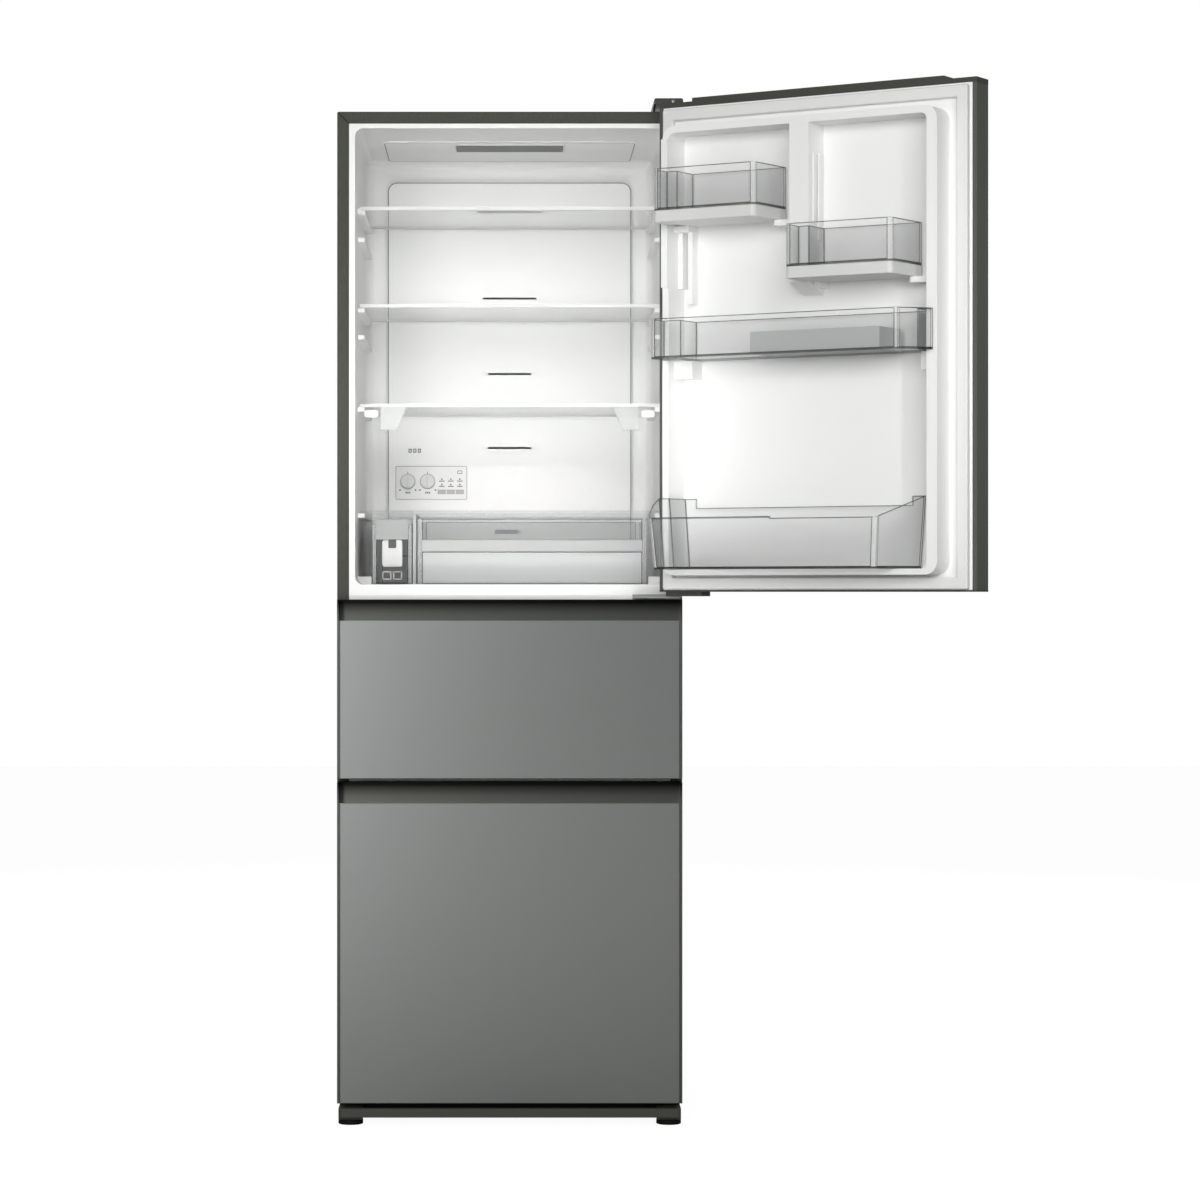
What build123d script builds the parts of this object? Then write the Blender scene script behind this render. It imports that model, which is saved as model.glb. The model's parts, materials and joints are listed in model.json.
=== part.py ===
from build123d import *
import os
from math import cos, radians, sin

# A three-door refrigerator: a hinged fridge door over two drawers.
# Millimetres. X runs to the right, -Y to the front and Z up from the floor.
# The origin is on the floor, under the middle of the cabinet's front face.

os.makedirs("parts", exist_ok=True)

# Clearances shared by all pieces
fit = 0.2
run = 0.4
pin_play = 0.05
overrun = 12.0

# Cabinet
cabinet_width = 600.0
cabinet_depth = 590.0
cabinet_top = 1754.0
cabinet_bottom = 34.0
sheet = 0.8
shell_corner = 3.0
frame_band = 20.5
tray_sheet = 1.2
machine_depth = 170.0
machine_height = 215.0

# Inner liners
liner_wall = 1.5
liner_corner = 14.0
rim_side = 10.7
rim_top = 8.5
rear_wall_thickness = 90.0
machine_wall_thickness = 45.0
floor_wall_thickness = 32.0
divider_height = 37.0
fridge_divider = 52.8
divider_face = 26.4

# Fronts of the door and the drawers
front_side_gap = 2.5
front_thickness = 45.0
front_stand = 12.0
front_lift = 3.6
freezer_front_height = 553.3
vegetable_front_height = 308.8
drawer_gap = 5.9
door_gap = 13.4
trim_width = 3.4
trim_lip = 8.0
panel_sheet = 1.2
panel_gap = 2.2
panel_margin = 0.8
grip_height = 36.0
grip_lip = 8.0
grip_pocket = 22.0
grip_depth = 33.0
grip_lean = 6.0
grip_corner = 5.0
gasket_width = 20.0
gasket_inset = 12.0

# Door
door_open = 147.7
hinge_inset = 13.5
hinge_depth = 27.0
hinge_pin = 5.0
pin_cover = 10.0
door_top_drop = 3.2
cap_height = 8.5
cap_crown = 6.0
crown_start = 64.0
crown_end_inset = 59.0
crown_slope = 17.0
bottom_cap = 3.0
stopper_height = 7.6
stopper_start = 9.0
stopper_end = 78.0
stopper_width = 33.0
lip_sheet = 2.0
dike_height = 50.0
dike_width = 12.0
dike_far_width = 19.0
dike_low_width = 10.0
dike_hinge_inset = 34.0
dike_free_inset = 48.0
dike_bottom_inset = 28.0
dike_top_inset = 39.0
dike_corner = 22.0
dike_step = 5.0
dike_step_share = 0.6228
recess = 6.0
pillar_share = 0.46555
pillar_width = 36.0
pillar_bottom_share = 0.5975
pillar_taper = 18.0
boss_reach = 30.0
boss_height = 30.0
small_boss_height = 10.0
bearing_width = 8.0
rib_drop = 76.0
rib_step = 27.0
rib_width = 8.6
rib_pitch = 18.6
rib_reach = 15.0
lug_root = 0.75
door_gasket_end = 4.0

# Door bins
bin_front = 105.0
bin_step = 56.0
bin_rear = 2.0
bin_wall = 2.0
bin_corner = 9.0
bin_notch = 20.0
small_bin_gap = 31.0
small_bin_height = 91.0
small_bin_base = 20.0
small_bin_slant = 5.0
left_bin_start = 46.0
left_bin_share = 0.7502
right_bin_gap = 20.0
right_bin_share = 0.6215
wide_bin_start = 40.0
wide_bin_end_inset = 52.0
wide_bin_share = 0.4731
wide_bin_height = 68.0
wide_bin_notch = 33.0
wide_bin_end_notch = 26.0
wide_bin_slant = 42.0
bottle_bin_start = 31.0
bottle_bin_end_inset = 90.0
bottle_front_height = 83.0
bottle_end_height = 121.0
bottle_rear_height = 105.0
bottle_chamfer = 40.0
bottle_draft = 9.0
bottle_end_post = 24.0
bottle_shoulder_drop = 12.7
inner_tray_width = 238.0
inner_tray_gap = 77.0
inner_tray_near = 14.0
inner_tray_far = 96.0
inner_tray_height = 37.0

# Fridge interior
duct_space = 65.0
duct_stand = 16.0
panel_wall = 2.0
duct_side_gap = 41.8
duct_floor_gap = 53.0
duct_ceiling_gap = 42.0
duct_corner = 17.0
vent_height = 3.6
top_vent_rise = 29.6
top_vent_width = 123.0
middle_vent_rise = 40.6
middle_vent_width = 100.0
lower_vent_rise = 75.6
lower_vent_width = 80.0
hidden_vent_drop = 62.5
return_drop = 27.0
return_width = 42.0
return_height = 7.5
sensor_drop = 67.5
sensor_size = 6.0
sensor_pitch = 8.0
sensor_inset = 50.0
control_inset = 14.0
control_width = 134.0
control_bottom_share = 0.172
control_top_share = 0.5
control_sheet = 2.0
dial_level_share = 0.349
fridge_dial_inset = 23.0
dial_pitch = 37.0
dial_radius = 12.5
dial_height = 11.0
dial_shaft = 3.0
dial_shaft_length = 5.0
dial_ridge = 3.0
dial_ridge_height = 4.0
lamp_front = 166.0
lamp_rear_gap = 15.0
lamp_sheet = 3.0
lamp_corner = 18.0
lens_half = 96.5
lens_front = 198.0
lens_rear = 281.0
lens_drop = 2.0

# Shelves
shelf_front = 100.0
shelf_rear_gap = 9.0
top_shelf_share = 0.8404
middle_shelf_share = 0.623
lower_shelf_share = 0.401
shelf_glass = 4.0
shelf_trim = 5.6
shelf_trim_depth = 9.0
shelf_side_gap = 3.8
ledge_reach = 12.0
ledge_height = 8.0
spare_ledge_drop = 52.0
hanger_width = 46.0
hanger_inset = 37.0
hanger_slope = 20.0
hanger_height = 40.0
hanger_depth = 14.0

# Chilled case, its cover and the water tank
cover_rise = 126.0
cover_glass = 5.0
cover_trim_drop = 7.0
case_side_gap = 24.2
case_front = 102.0
case_rear_gap = 33.0
case_height = 116.0
case_wall = 2.2
case_corner = 10.0
handle_bottom = 57.5
handle_height = 21.5
handle_stand = 5.0
handle_chamfer = 1.7
partition_width = 5.6
tank_width = 72.6
tank_side_gap = 24.6
tank_height = 106.0
tank_rear_gap = 10.0
tank_wall = 2.0
tank_corner = 8.0
tank_lid = 9.0
tank_band = 27.0
guide_height = 14.0

# Drawer boxes and their telescopic rails
rail_sheet = 3.2
rail_height = 30.0
rail_front = 22.0
vegetable_rail_space = 48.0
freezer_rail_space = 13.0
box_rail_gap = 11.4
box_wall = 2.4
box_corner = 22.0
box_flange = 3.0
flange_reach = 15.0
vegetable_box_space = 93.0
vegetable_box_headroom = 33.85
freezer_box_space = 33.0
freezer_box_headroom = 179.75
box_floor_gap = 8.0
box_front = 2.0
tray_space = 102.0
tray_height = 55.0
tray_front = 20.0

# Cooling
cooling_space = 82.0
cover_sheet = 2.5
fan_drop = 70.35
fan_radius = 48.0
fan_gap = 4.0
fan_hub_radius = 15.0
fan_depth = 16.0
fan_blades = 5
blade_width = 17.0
blade_thickness = 1.8
blade_angle = 38.0
fan_pin = 3.0
motor_radius = 24.0
motor_depth = 22.0
motor_arm_width = 8.0
evaporator_rear_gap = 6.0
evaporator_depth = 54.0
evaporator_side_gap = 78.8
evaporator_floor_gap = 11.0
evaporator_fan_gap = 27.0
fin_count = 24
evaporator_plate = 2.0
fin_sheet = 1.0
tube_rows = 4
tube_share = 0.144
compressor_radius = 68.0
compressor_height = 138.0
compressor_x = 110.0
compressor_round = 28.0
compressor_plate = 4.0
compressor_plate_half = 92.0
grommet_radius = 12.0
grommet_height = 10.0
pipe_radius = 4.0
pipe_reach = 30.0
louvre_height = 5.0
louvre_length = 60.0
louvre_pitch = 12.0
louvre_count = 9
louvre_x = 180.0

# Ice maker
ice_axis_inset = 78.8
ice_axis_drop = 60.0
ice_tray_half = 46.0
ice_tray_front = 90.0
ice_tray_space = 78.0
ice_tray_height = 30.0
ice_tray_wall = 1.8
ice_pin = 4.0
ice_drive_depth = 45.0
ice_drive_half = 55.0
ice_drive_height = 66.0
ice_gap = 2.0
ice_rail = 6.0
ice_rail_sheet = 3.0
ice_bearing_drop = 12.0
ice_columns = 4
ice_rows = 2

# Hinges on the cabinet
bracket_sheet = 3.0
bracket_width = 41.0
bracket_inset = 6.0
bracket_rear = 62.0
bracket_clearance = 1.0
cover_width = 50.0
cover_inset = 1.0
cover_shell = 1.8
cover_height = 16.0
cover_clearance = 0.5
cover_behind = 78.0
cover_ahead = 16.0
cover_round = 4.0
cover_round_wall = 1.0
middle_bracket_width = 83.0
middle_bracket_inset = 4.0
middle_flange = 3.7
middle_flange_drop = 9.5
screw_radius = 3.0
screw_head = 6.0
screw_head_height = 2.4
screw_length = 14.0
screw_pitch = 30.0
middle_screw_inset = 55.0

# Base
plinth_inset = 4.4
plinth_bottom = 12.8
plinth_top = 28.5
plinth_front = 54.0
plinth_thickness = 12.0
plinth_corner = 8.0
kick_wall_thickness = 3.0
foot_block = 41.6
foot_block_bottom = 8.5
foot_block_rear = 70.0
foot_inset = 25.2
foot_ahead = 32.0
foot_disc = 21.4
foot_disc_height = 8.2
foot_stud = 5.0
foot_stud_length = 16.0
roller_radius = 14.0
roller_width = 18.0
roller_inset = 55.0
roller_behind = 40.0
axle_radius = 4.0
bracket_plate = 3.0
bracket_length = 36.0
bracket_drop = 6.0
inlet_inset = 48.0
inlet_drop = 17.0
inlet_radius = 9.0
inlet_bore = 4.0
inlet_length = 7.0

# Places worked out from the sizes above
half = cabinet_width / 2
opening_half = half - frame_band - rim_side
front_width = cabinet_width - 2 * front_side_gap
front_half = front_width / 2
front_rear = -front_stand
front_face = -(front_stand + front_thickness)
freezer_front_bottom = cabinet_bottom + front_lift
freezer_front_top = freezer_front_bottom + freezer_front_height
vegetable_front_bottom = freezer_front_top + drawer_gap
vegetable_front_top = vegetable_front_bottom + vegetable_front_height
door_bottom = vegetable_front_top + door_gap
fridge_floor = vegetable_front_top + divider_face
fridge_ceiling = cabinet_top - frame_band - rim_top
fridge_height = fridge_ceiling - fridge_floor
divider_middle = freezer_front_top + drawer_gap / 2
freezer_floor = freezer_front_bottom + floor_wall_thickness
freezer_ceiling = divider_middle - divider_height / 2
vegetable_floor = divider_middle + divider_height / 2
vegetable_ceiling = fridge_floor - fridge_divider
fridge_depth = cabinet_depth - rear_wall_thickness
drawer_room_depth = cabinet_depth - rear_wall_thickness
machine_front = cabinet_depth - machine_depth
machine_top = cabinet_bottom + machine_height
freezer_floor_depth = machine_front - machine_wall_thickness
freezer_step = machine_top + machine_wall_thickness
inner_half = half - sheet
rim_half = half - frame_band - fit
hinge_x = front_half - hinge_inset
hinge_y = -(front_stand + hinge_depth)
door_top = cabinet_top - door_top_drop
cap_top = door_top + cap_height
to_front = (0, -1, 0)
to_right = (1, 0, 0)
upward = (0, 0, 1)

# The places of the fridge's fittings
duct_front = fridge_depth - duct_space
duct_rear = duct_front + duct_stand
duct_half = opening_half - duct_side_gap
duct_bottom = fridge_floor + duct_floor_gap
duct_top = fridge_ceiling - duct_ceiling_gap
top_shelf_level = fridge_floor + top_shelf_share * fridge_height
middle_shelf_level = fridge_floor + middle_shelf_share * fridge_height
lower_shelf_level = fridge_floor + lower_shelf_share * fridge_height
shelf_levels = (top_shelf_level, middle_shelf_level, lower_shelf_level)
shelf_rear = duct_front - shelf_rear_gap
shelf_half = opening_half - shelf_side_gap
hanger_end = shelf_half - hanger_inset
hanger_start = hanger_end - hanger_width
cover_level = fridge_floor + cover_rise
lowest_space = lower_shelf_level - cover_level
control_left = control_inset - duct_half
control_right = control_left + control_width
control_bottom = cover_level + control_bottom_share * lowest_space
control_top = cover_level + control_top_share * lowest_space
dial_level = cover_level + dial_level_share * lowest_space
fridge_dial_x = control_left + fridge_dial_inset
freezer_dial_x = fridge_dial_x + dial_pitch
sensor_middle = sensor_inset - duct_half
sensor_level = lower_shelf_level - sensor_drop
return_level = cover_level - return_drop
lamp_rear = duct_rear - lamp_rear_gap
case_rear = duct_front - case_rear_gap
case_right = opening_half - case_side_gap
case_left = tank_side_gap + tank_width + 2 * run + partition_width - opening_half

# The places of the drawers' and the cooling system's pieces
fixed_rail_inner = opening_half - rail_sheet
middle_rail_inner = fixed_rail_inner - run - rail_sheet
inner_rail_inner = middle_rail_inner - run - rail_sheet
box_half = inner_rail_inner - box_rail_gap
vegetable_rail_length = drawer_room_depth - vegetable_rail_space - rail_front
freezer_rail_length = freezer_floor_depth - freezer_rail_space - rail_front
vegetable_box_bottom = vegetable_floor + box_floor_gap
vegetable_box_top = vegetable_ceiling - vegetable_box_headroom
vegetable_box_rear = drawer_room_depth - vegetable_box_space
freezer_box_bottom = freezer_floor + box_floor_gap
freezer_box_top = freezer_ceiling - freezer_box_headroom
freezer_box_rear = freezer_floor_depth - freezer_box_space
tray_rear = freezer_box_rear - tray_space
vegetable_rail_top = vegetable_box_top - box_flange
freezer_rail_top = freezer_box_top - box_flange
cover_front = drawer_room_depth - cooling_space
fan_level = freezer_ceiling - fan_drop
evaporator_front = drawer_room_depth - evaporator_rear_gap - evaporator_depth
evaporator_half = opening_half - evaporator_side_gap
evaporator_bottom = freezer_step + evaporator_floor_gap
evaporator_height = fan_level - fan_radius - evaporator_fan_gap - evaporator_bottom
tube_radius = tube_share * evaporator_height / tube_rows
ice_axis_x = ice_axis_inset - opening_half
ice_tray_length = cover_front - ice_tray_space - ice_drive_depth - ice_tray_front

# The places of the hinges and the base
bracket_right = half - bracket_inset
bracket_left = bracket_right - bracket_width
cover_right = half - cover_inset
cover_left = cover_right - cover_width
middle_bracket_right = half - middle_bracket_inset
middle_bracket_left = middle_bracket_right - middle_bracket_width
middle_screw_x = half - middle_screw_inset
plinth_half = half - plinth_inset
foot_x = half - foot_inset
roller_x = half - roller_inset
inlet_x = inlet_inset - half
inlet_level = machine_top - inlet_drop

# The places of the door's pieces, across the door and up it
door_height = door_top - door_bottom
crown_end = front_width - crown_end_inset
dike_step_level = door_bottom + dike_step_share * door_height
pillar_start = pillar_share * front_width
pillar_bottom = door_bottom + pillar_bottom_share * door_height
small_bin_width = pillar_start - small_bin_gap - left_bin_start
left_bin_bottom = door_bottom + left_bin_share * door_height
right_bin_start = pillar_start + right_bin_gap
right_bin_bottom = door_bottom + right_bin_share * door_height
wide_bin_end = front_width - wide_bin_end_inset
wide_bin_bottom = door_bottom + wide_bin_share * door_height
bottle_bin_end = front_width - bottle_bin_end_inset
inner_tray_end = wide_bin_end - inner_tray_gap
inner_tray_start = inner_tray_end - inner_tray_width


def block(low, high, mode=Mode.ADD):
    """A block between two opposite corners."""
    sizes = [b - a for a, b in zip(low, high)]
    middle = tuple((a + b) / 2 for a, b in zip(low, high))
    with Locations(middle):
        Box(*sizes, mode=mode)


def both_sides(low, high, mode=Mode.ADD):
    """A block on the right and its mirror image on the left."""
    block(low, high, mode)
    block((-high[0], low[1], low[2]), (-low[0], high[1], high[2]), mode)


def round_bar(start, direction, radius, length, mode=Mode.ADD):
    """A round bar that runs from a point in one direction."""
    with BuildSketch(Plane(origin=start, z_dir=direction)) as section:
        Circle(radius)
    extrude(section.sketch, amount=length, mode=mode)


def tunnel(floor, ceiling, front, rear, grow=0.0):
    """A compartment with round long edges, from its front to its rear."""
    with BuildPart() as hollow:
        with BuildSketch(Plane.XZ.offset(-front)):
            with Locations((0, (floor + ceiling) / 2)):
                RectangleRounded(2 * (opening_half + grow), ceiling - floor + 2 * grow, liner_corner + grow)
        extrude(amount=front - rear)
    return hollow.part


def freezer_room(front, grow=0.0):
    """The freezer compartment, which is shorter over the machine room."""
    with BuildPart() as room:
        add(tunnel(freezer_floor, freezer_ceiling, front, freezer_floor_depth + grow, grow))
        add(tunnel(freezer_step, freezer_ceiling, front, drawer_room_depth + grow, grow))
    return room.part


def cabinet_outline(y, inset, bottom):
    """A cross-section of the cabinet, with round top corners and a flat lower edge."""
    radius = shell_corner - inset
    top = cabinet_top - inset
    with BuildSketch(Plane.XZ.offset(-y)) as outline:
        with Locations((0, (top + bottom) / 2 - radius)):
            RectangleRounded(2 * (half - inset), top - bottom + 2 * radius, radius)
        with Locations((0, bottom)):
            Rectangle(cabinet_width, overrun, align=(Align.CENTER, Align.MAX), mode=Mode.SUBTRACT)
    return outline.sketch


top_screw_x = (bracket_left + bracket_right) / 2
top_screw_level = cabinet_top + bracket_sheet
middle_top = door_bottom - stopper_height - run
middle_bottom = middle_top - bracket_sheet
middle_screw_level = middle_bottom - screw_head - pin_play


def hinge_screw_holes():
    """Cut the holes for the screws of both hinges."""
    for y in (bracket_rear / 2 - screw_pitch / 2, bracket_rear / 2 + screw_pitch / 2):
        start = (top_screw_x, y, top_screw_level - screw_length)
        round_bar(start, upward, screw_radius, screw_length + overrun, Mode.SUBTRACT)
    for x in (middle_screw_x - screw_pitch / 2, middle_screw_x + screw_pitch / 2):
        start = (x, screw_length - bracket_sheet, middle_screw_level)
        round_bar(start, to_front, screw_radius, screw_length + overrun, Mode.SUBTRACT)


# Outer shell: folded steel round the sides and top, with the front frame band
with BuildPart() as outer_shell:
    extrude(cabinet_outline(0, 0, cabinet_bottom), amount=-cabinet_depth)
    hollow_bottom = cabinet_bottom - overrun
    extrude(
        cabinet_outline(sheet, sheet, hollow_bottom),
        amount=-cabinet_depth,
        mode=Mode.SUBTRACT,
    )
    block(
        (frame_band - half, -overrun, cabinet_bottom - overrun),
        (half - frame_band, overrun, cabinet_top - frame_band),
        Mode.SUBTRACT,
    )
    hinge_screw_holes()
outer_shell.part.label = "outer_shell"
export_step(outer_shell.part, "parts/outer_shell.step")

# Rear panel: the flat steel back above the machine room
with BuildPart() as rear_panel:
    extrude(cabinet_outline(cabinet_depth - sheet, sheet, machine_top), amount=-sheet)
rear_panel.part.label = "rear_panel"
export_step(rear_panel.part, "parts/rear_panel.step")

axle_y = cabinet_depth - roller_behind
roller_inner = roller_x - roller_width / 2 - run

# Base tray: the bent floor of the cabinet, with the roller brackets
with BuildPart() as base_tray:
    block((-inner_half, liner_wall, cabinet_bottom), (inner_half, cabinet_depth, cabinet_bottom + tray_sheet))
    block((-inner_half, machine_front, cabinet_bottom), (inner_half, machine_front + tray_sheet, machine_top))
    block((-inner_half, machine_front, machine_top - tray_sheet), (inner_half, cabinet_depth, machine_top))
    both_sides(
        (roller_inner - bracket_plate, axle_y - bracket_length / 2, bracket_drop),
        (roller_inner, axle_y + bracket_length / 2, cabinet_bottom),
    )
    round_bar(
        (-half, axle_y, roller_radius), to_right, axle_radius + pin_play, cabinet_width, Mode.SUBTRACT
    )
base_tray.part.label = "base_tray"
export_step(base_tray.part, "parts/base_tray.step")

fridge_outside = tunnel(fridge_floor, fridge_ceiling, 0, fridge_depth + liner_wall, liner_wall)
fridge_inside = tunnel(fridge_floor, fridge_ceiling, -overrun, fridge_depth)
vegetable_outside = tunnel(vegetable_floor, vegetable_ceiling, 0, drawer_room_depth + liner_wall, liner_wall)
vegetable_inside = tunnel(vegetable_floor, vegetable_ceiling, -overrun, drawer_room_depth)
freezer_outside = freezer_room(0, liner_wall)
freezer_inside = freezer_room(-overrun)

# Cabinet foam: the insulation that fills the walls and dividers
with BuildPart() as cabinet_foam:
    extrude(
        cabinet_outline(liner_wall, sheet, cabinet_bottom + tray_sheet),
        amount=liner_wall + sheet - cabinet_depth,
    )
    add(fridge_outside, mode=Mode.SUBTRACT)
    add(vegetable_outside, mode=Mode.SUBTRACT)
    add(freezer_outside, mode=Mode.SUBTRACT)
    block(
        (-half, machine_front, cabinet_bottom),
        (half, cabinet_depth + overrun, machine_top),
        Mode.SUBTRACT,
    )
    hinge_screw_holes()
cabinet_foam.part.label = "cabinet_foam"
export_step(cabinet_foam.part, "parts/cabinet_foam.step")

ledge_inner = opening_half - ledge_reach
partition_left = case_left - run - partition_width
tank_right = partition_left - run
tank_left = tank_right - tank_width
ledge_front = shelf_front + shelf_trim_depth
tank_rear = case_rear - tank_rear_gap

# Ledges for the shelves and the case cover, the partition and the floor guides
with BuildPart() as liner_fittings:
    ledge_tops = [level - shelf_glass for level in shelf_levels]
    ledge_tops += [level - spare_ledge_drop for level in shelf_levels[:-1]]
    ledge_tops += [cover_level]
    for top in ledge_tops:
        both_sides((ledge_inner, ledge_front, top - ledge_height), (opening_half, shelf_rear, top))
    guide_top = fridge_floor + guide_height
    partition_right = partition_left + partition_width
    block((partition_left, case_front, fridge_floor), (partition_right, tank_rear, cover_level))
    block((-opening_half, case_front, fridge_floor), (tank_left - run, tank_rear, guide_top))
    block((case_right + run, case_front, fridge_floor), (opening_half, case_rear, guide_top))
    add(fridge_inside, mode=Mode.INTERSECT)

# Fridge liner: the white inner box with its front rim and its fittings
with BuildPart() as fridge_liner:
    add(fridge_outside)
    block(
        (-rim_half, 0, vegetable_front_top + fit),
        (rim_half, liner_wall, fridge_ceiling + rim_top - fit),
    )
    add(fridge_inside, mode=Mode.SUBTRACT)
    add(liner_fittings.part)
fridge_liner.part.label = "fridge_liner"
export_step(fridge_liner.part, "parts/fridge_liner.step")

# Drawer liners: the inner boxes of the vegetable and freezer compartments
with BuildPart() as drawer_liners:
    add(vegetable_outside)
    block((-rim_half, 0, divider_middle + fit), (rim_half, liner_wall, vegetable_front_top - fit))
    add(vegetable_inside, mode=Mode.SUBTRACT)
    add(freezer_outside)
    block((-rim_half, 0, cabinet_bottom + fit), (rim_half, liner_wall, divider_middle - fit))
    add(freezer_inside, mode=Mode.SUBTRACT)
    hinge_screw_holes()
drawer_liners.part.label = "drawer_liners"
export_step(drawer_liners.part, "parts/drawer_liners.step")

duct_sheet = tunnel(fridge_floor, fridge_ceiling, duct_rear, duct_rear + panel_wall)


def dial_holes():
    """Cut the holes for the shafts of the two dials."""
    for x in (fridge_dial_x, freezer_dial_x):
        start = (x, duct_front + dial_shaft_length, dial_level)
        round_bar(start, to_front, dial_shaft + pin_play, dial_shaft_length + overrun, Mode.SUBTRACT)


vents = (
    (top_shelf_level + top_vent_rise, top_vent_width),
    (middle_shelf_level + middle_vent_rise, middle_vent_width),
    (lower_shelf_level + lower_vent_rise, lower_vent_width),
    (lower_shelf_level - hidden_vent_drop, lower_vent_width),
)

# Duct panel: the rear wall of the fridge, with a raised air duct and its outlets
with BuildPart() as duct_panel:
    add(duct_sheet)
    with BuildSketch(Plane.XZ.offset(-duct_front)):
        with Locations((0, (duct_bottom + duct_top) / 2)):
            RectangleRounded(2 * duct_half, duct_top - duct_bottom, duct_corner)
    extrude(amount=-duct_stand)
    with BuildSketch(Plane.XZ.offset(-duct_front - panel_wall)):
        with Locations((0, (duct_bottom + duct_top) / 2)):
            RectangleRounded(
                2 * (duct_half - panel_wall),
                duct_top - duct_bottom - 2 * panel_wall,
                duct_corner - panel_wall,
            )
    extrude(amount=-duct_stand - panel_wall, mode=Mode.SUBTRACT)
    for level, width in vents:
        block(
            (-width / 2, duct_front - overrun, level - vent_height / 2),
            (width / 2, duct_front + panel_wall + fit, level + vent_height / 2),
            Mode.SUBTRACT,
        )
    block(
        (-return_width / 2, duct_front - overrun, return_level - return_height / 2),
        (return_width / 2, duct_front + panel_wall + fit, return_level + return_height / 2),
        Mode.SUBTRACT,
    )
    with Locations((sensor_middle, duct_front, sensor_level)):
        with GridLocations(sensor_pitch, 0, 3, 1):
            Box(sensor_size, overrun, sensor_size, mode=Mode.SUBTRACT)
    dial_holes()
duct_panel.part.label = "duct_panel"
export_step(duct_panel.part, "parts/duct_panel.step")

# Control plate: the flat plate that carries the two dials
with BuildPart() as control_plate:
    block(
        (control_left, duct_front - control_sheet, control_bottom),
        (control_right, duct_front, control_top),
    )
    dial_holes()
control_plate.part.label = "control_plate"
export_step(control_plate.part, "parts/control_plate.step")


def dial(x):
    """A round temperature dial with a pointer ridge, on a shaft through the plate."""
    knob_rear = duct_front - control_sheet - run
    knob_front = knob_rear - dial_height
    ridge_reach = dial_radius - dial_ridge
    with BuildPart() as knob:
        round_bar((x, knob_rear, dial_level), to_front, dial_radius, dial_height)
        round_bar((x, knob_rear + dial_shaft_length, dial_level), to_front, dial_shaft, dial_shaft_length)
        block(
            (x - dial_ridge / 2, knob_front - dial_ridge_height, dial_level - ridge_reach),
            (x + dial_ridge / 2, knob_front, dial_level + ridge_reach),
        )
    return knob.part


# Temperature dials
with BuildPart() as fridge_dial:
    add(dial(fridge_dial_x))
fridge_dial.part.label = "fridge_dial"
export_step(fridge_dial.part, "parts/fridge_dial.step")

with BuildPart() as freezer_dial:
    add(dial(freezer_dial_x))
freezer_dial.part.label = "freezer_dial"
export_step(freezer_dial.part, "parts/freezer_dial.step")

lamp_middle = (lamp_front + lamp_rear) / 2
lens_middle = (lens_front + lens_rear) / 2

# Lamp panel: the ceiling cover, with a slot for the lamp
with BuildPart() as lamp_panel:
    with BuildSketch(Plane.XY.offset(fridge_ceiling - lamp_sheet)):
        with Locations((0, lamp_middle)):
            RectangleRounded(2 * duct_half, lamp_rear - lamp_front, lamp_corner)
        with Locations((0, lens_middle)):
            Rectangle(2 * (lens_half + fit), lens_rear - lens_front + 2 * fit, mode=Mode.SUBTRACT)
    extrude(amount=lamp_sheet)
lamp_panel.part.label = "lamp_panel"
export_step(lamp_panel.part, "parts/lamp_panel.step")

# Lamp lens: the cover of the ceiling light, which hangs a little below the panel
with BuildPart() as lamp_lens:
    block(
        (-lens_half, lens_front, fridge_ceiling - lamp_sheet - lens_drop),
        (lens_half, lens_rear, fridge_ceiling),
    )
lamp_lens.part.label = "lamp_lens"
export_step(lamp_lens.part, "parts/lamp_lens.step")



# Shelves: the glass plates, resting on the ledges of the liner
with BuildPart() as shelves:
    for level in shelf_levels:
        block(
            (-shelf_half, shelf_front + shelf_trim_depth, level - shelf_glass),
            (shelf_half, shelf_rear - shelf_trim_depth, level),
        )
shelves.part.label = "shelves"
export_step(shelves.part, "parts/shelves.step")

# Shelf trims: the front and rear edges of the glass, with the lower shelf's hangers
with BuildPart() as shelf_trims:
    for level in shelf_levels:
        trim_top = level + (shelf_trim - shelf_glass)
        trim_bottom = level - shelf_glass
        for trim_front in (shelf_front, shelf_rear - shelf_trim_depth):
            block(
                (-shelf_half, trim_front, trim_bottom),
                (shelf_half, trim_front + shelf_trim_depth, trim_top),
            )
    hanger_top = shelf_levels[-1] - shelf_glass
    with BuildSketch(Plane.XZ.offset(-shelf_front)):
        with BuildLine():
            Polyline(
                (hanger_start, hanger_top),
                (hanger_start + hanger_slope, hanger_top - hanger_height),
                (hanger_end, hanger_top - hanger_height),
                (hanger_end, hanger_top),
                close=True,
            )
        make_face()
        mirror(about=Plane.YZ)
    extrude(amount=-hanger_depth)
shelf_trims.part.label = "shelf_trims"
export_step(shelf_trims.part, "parts/shelf_trims.step")

# Case cover: the glass shelf over the chilled case and the water tank
with BuildPart() as case_cover:
    block((-shelf_half, ledge_front, cover_level), (shelf_half, shelf_rear, cover_level + cover_glass))
    block(
        (tank_left, shelf_front, cover_level - cover_trim_drop),
        (case_right, ledge_front - run, cover_level + cover_glass),
    )
    block((tank_left, ledge_front - run, cover_level), (case_right, ledge_front, cover_level + cover_glass))
    block(
        (partition_left - run, shelf_front - overrun, cover_level - overrun),
        (partition_left + partition_width + run, ledge_front + run, cover_level),
        Mode.SUBTRACT,
    )
case_cover.part.label = "case_cover"
export_step(case_cover.part, "parts/case_cover.step")


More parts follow.
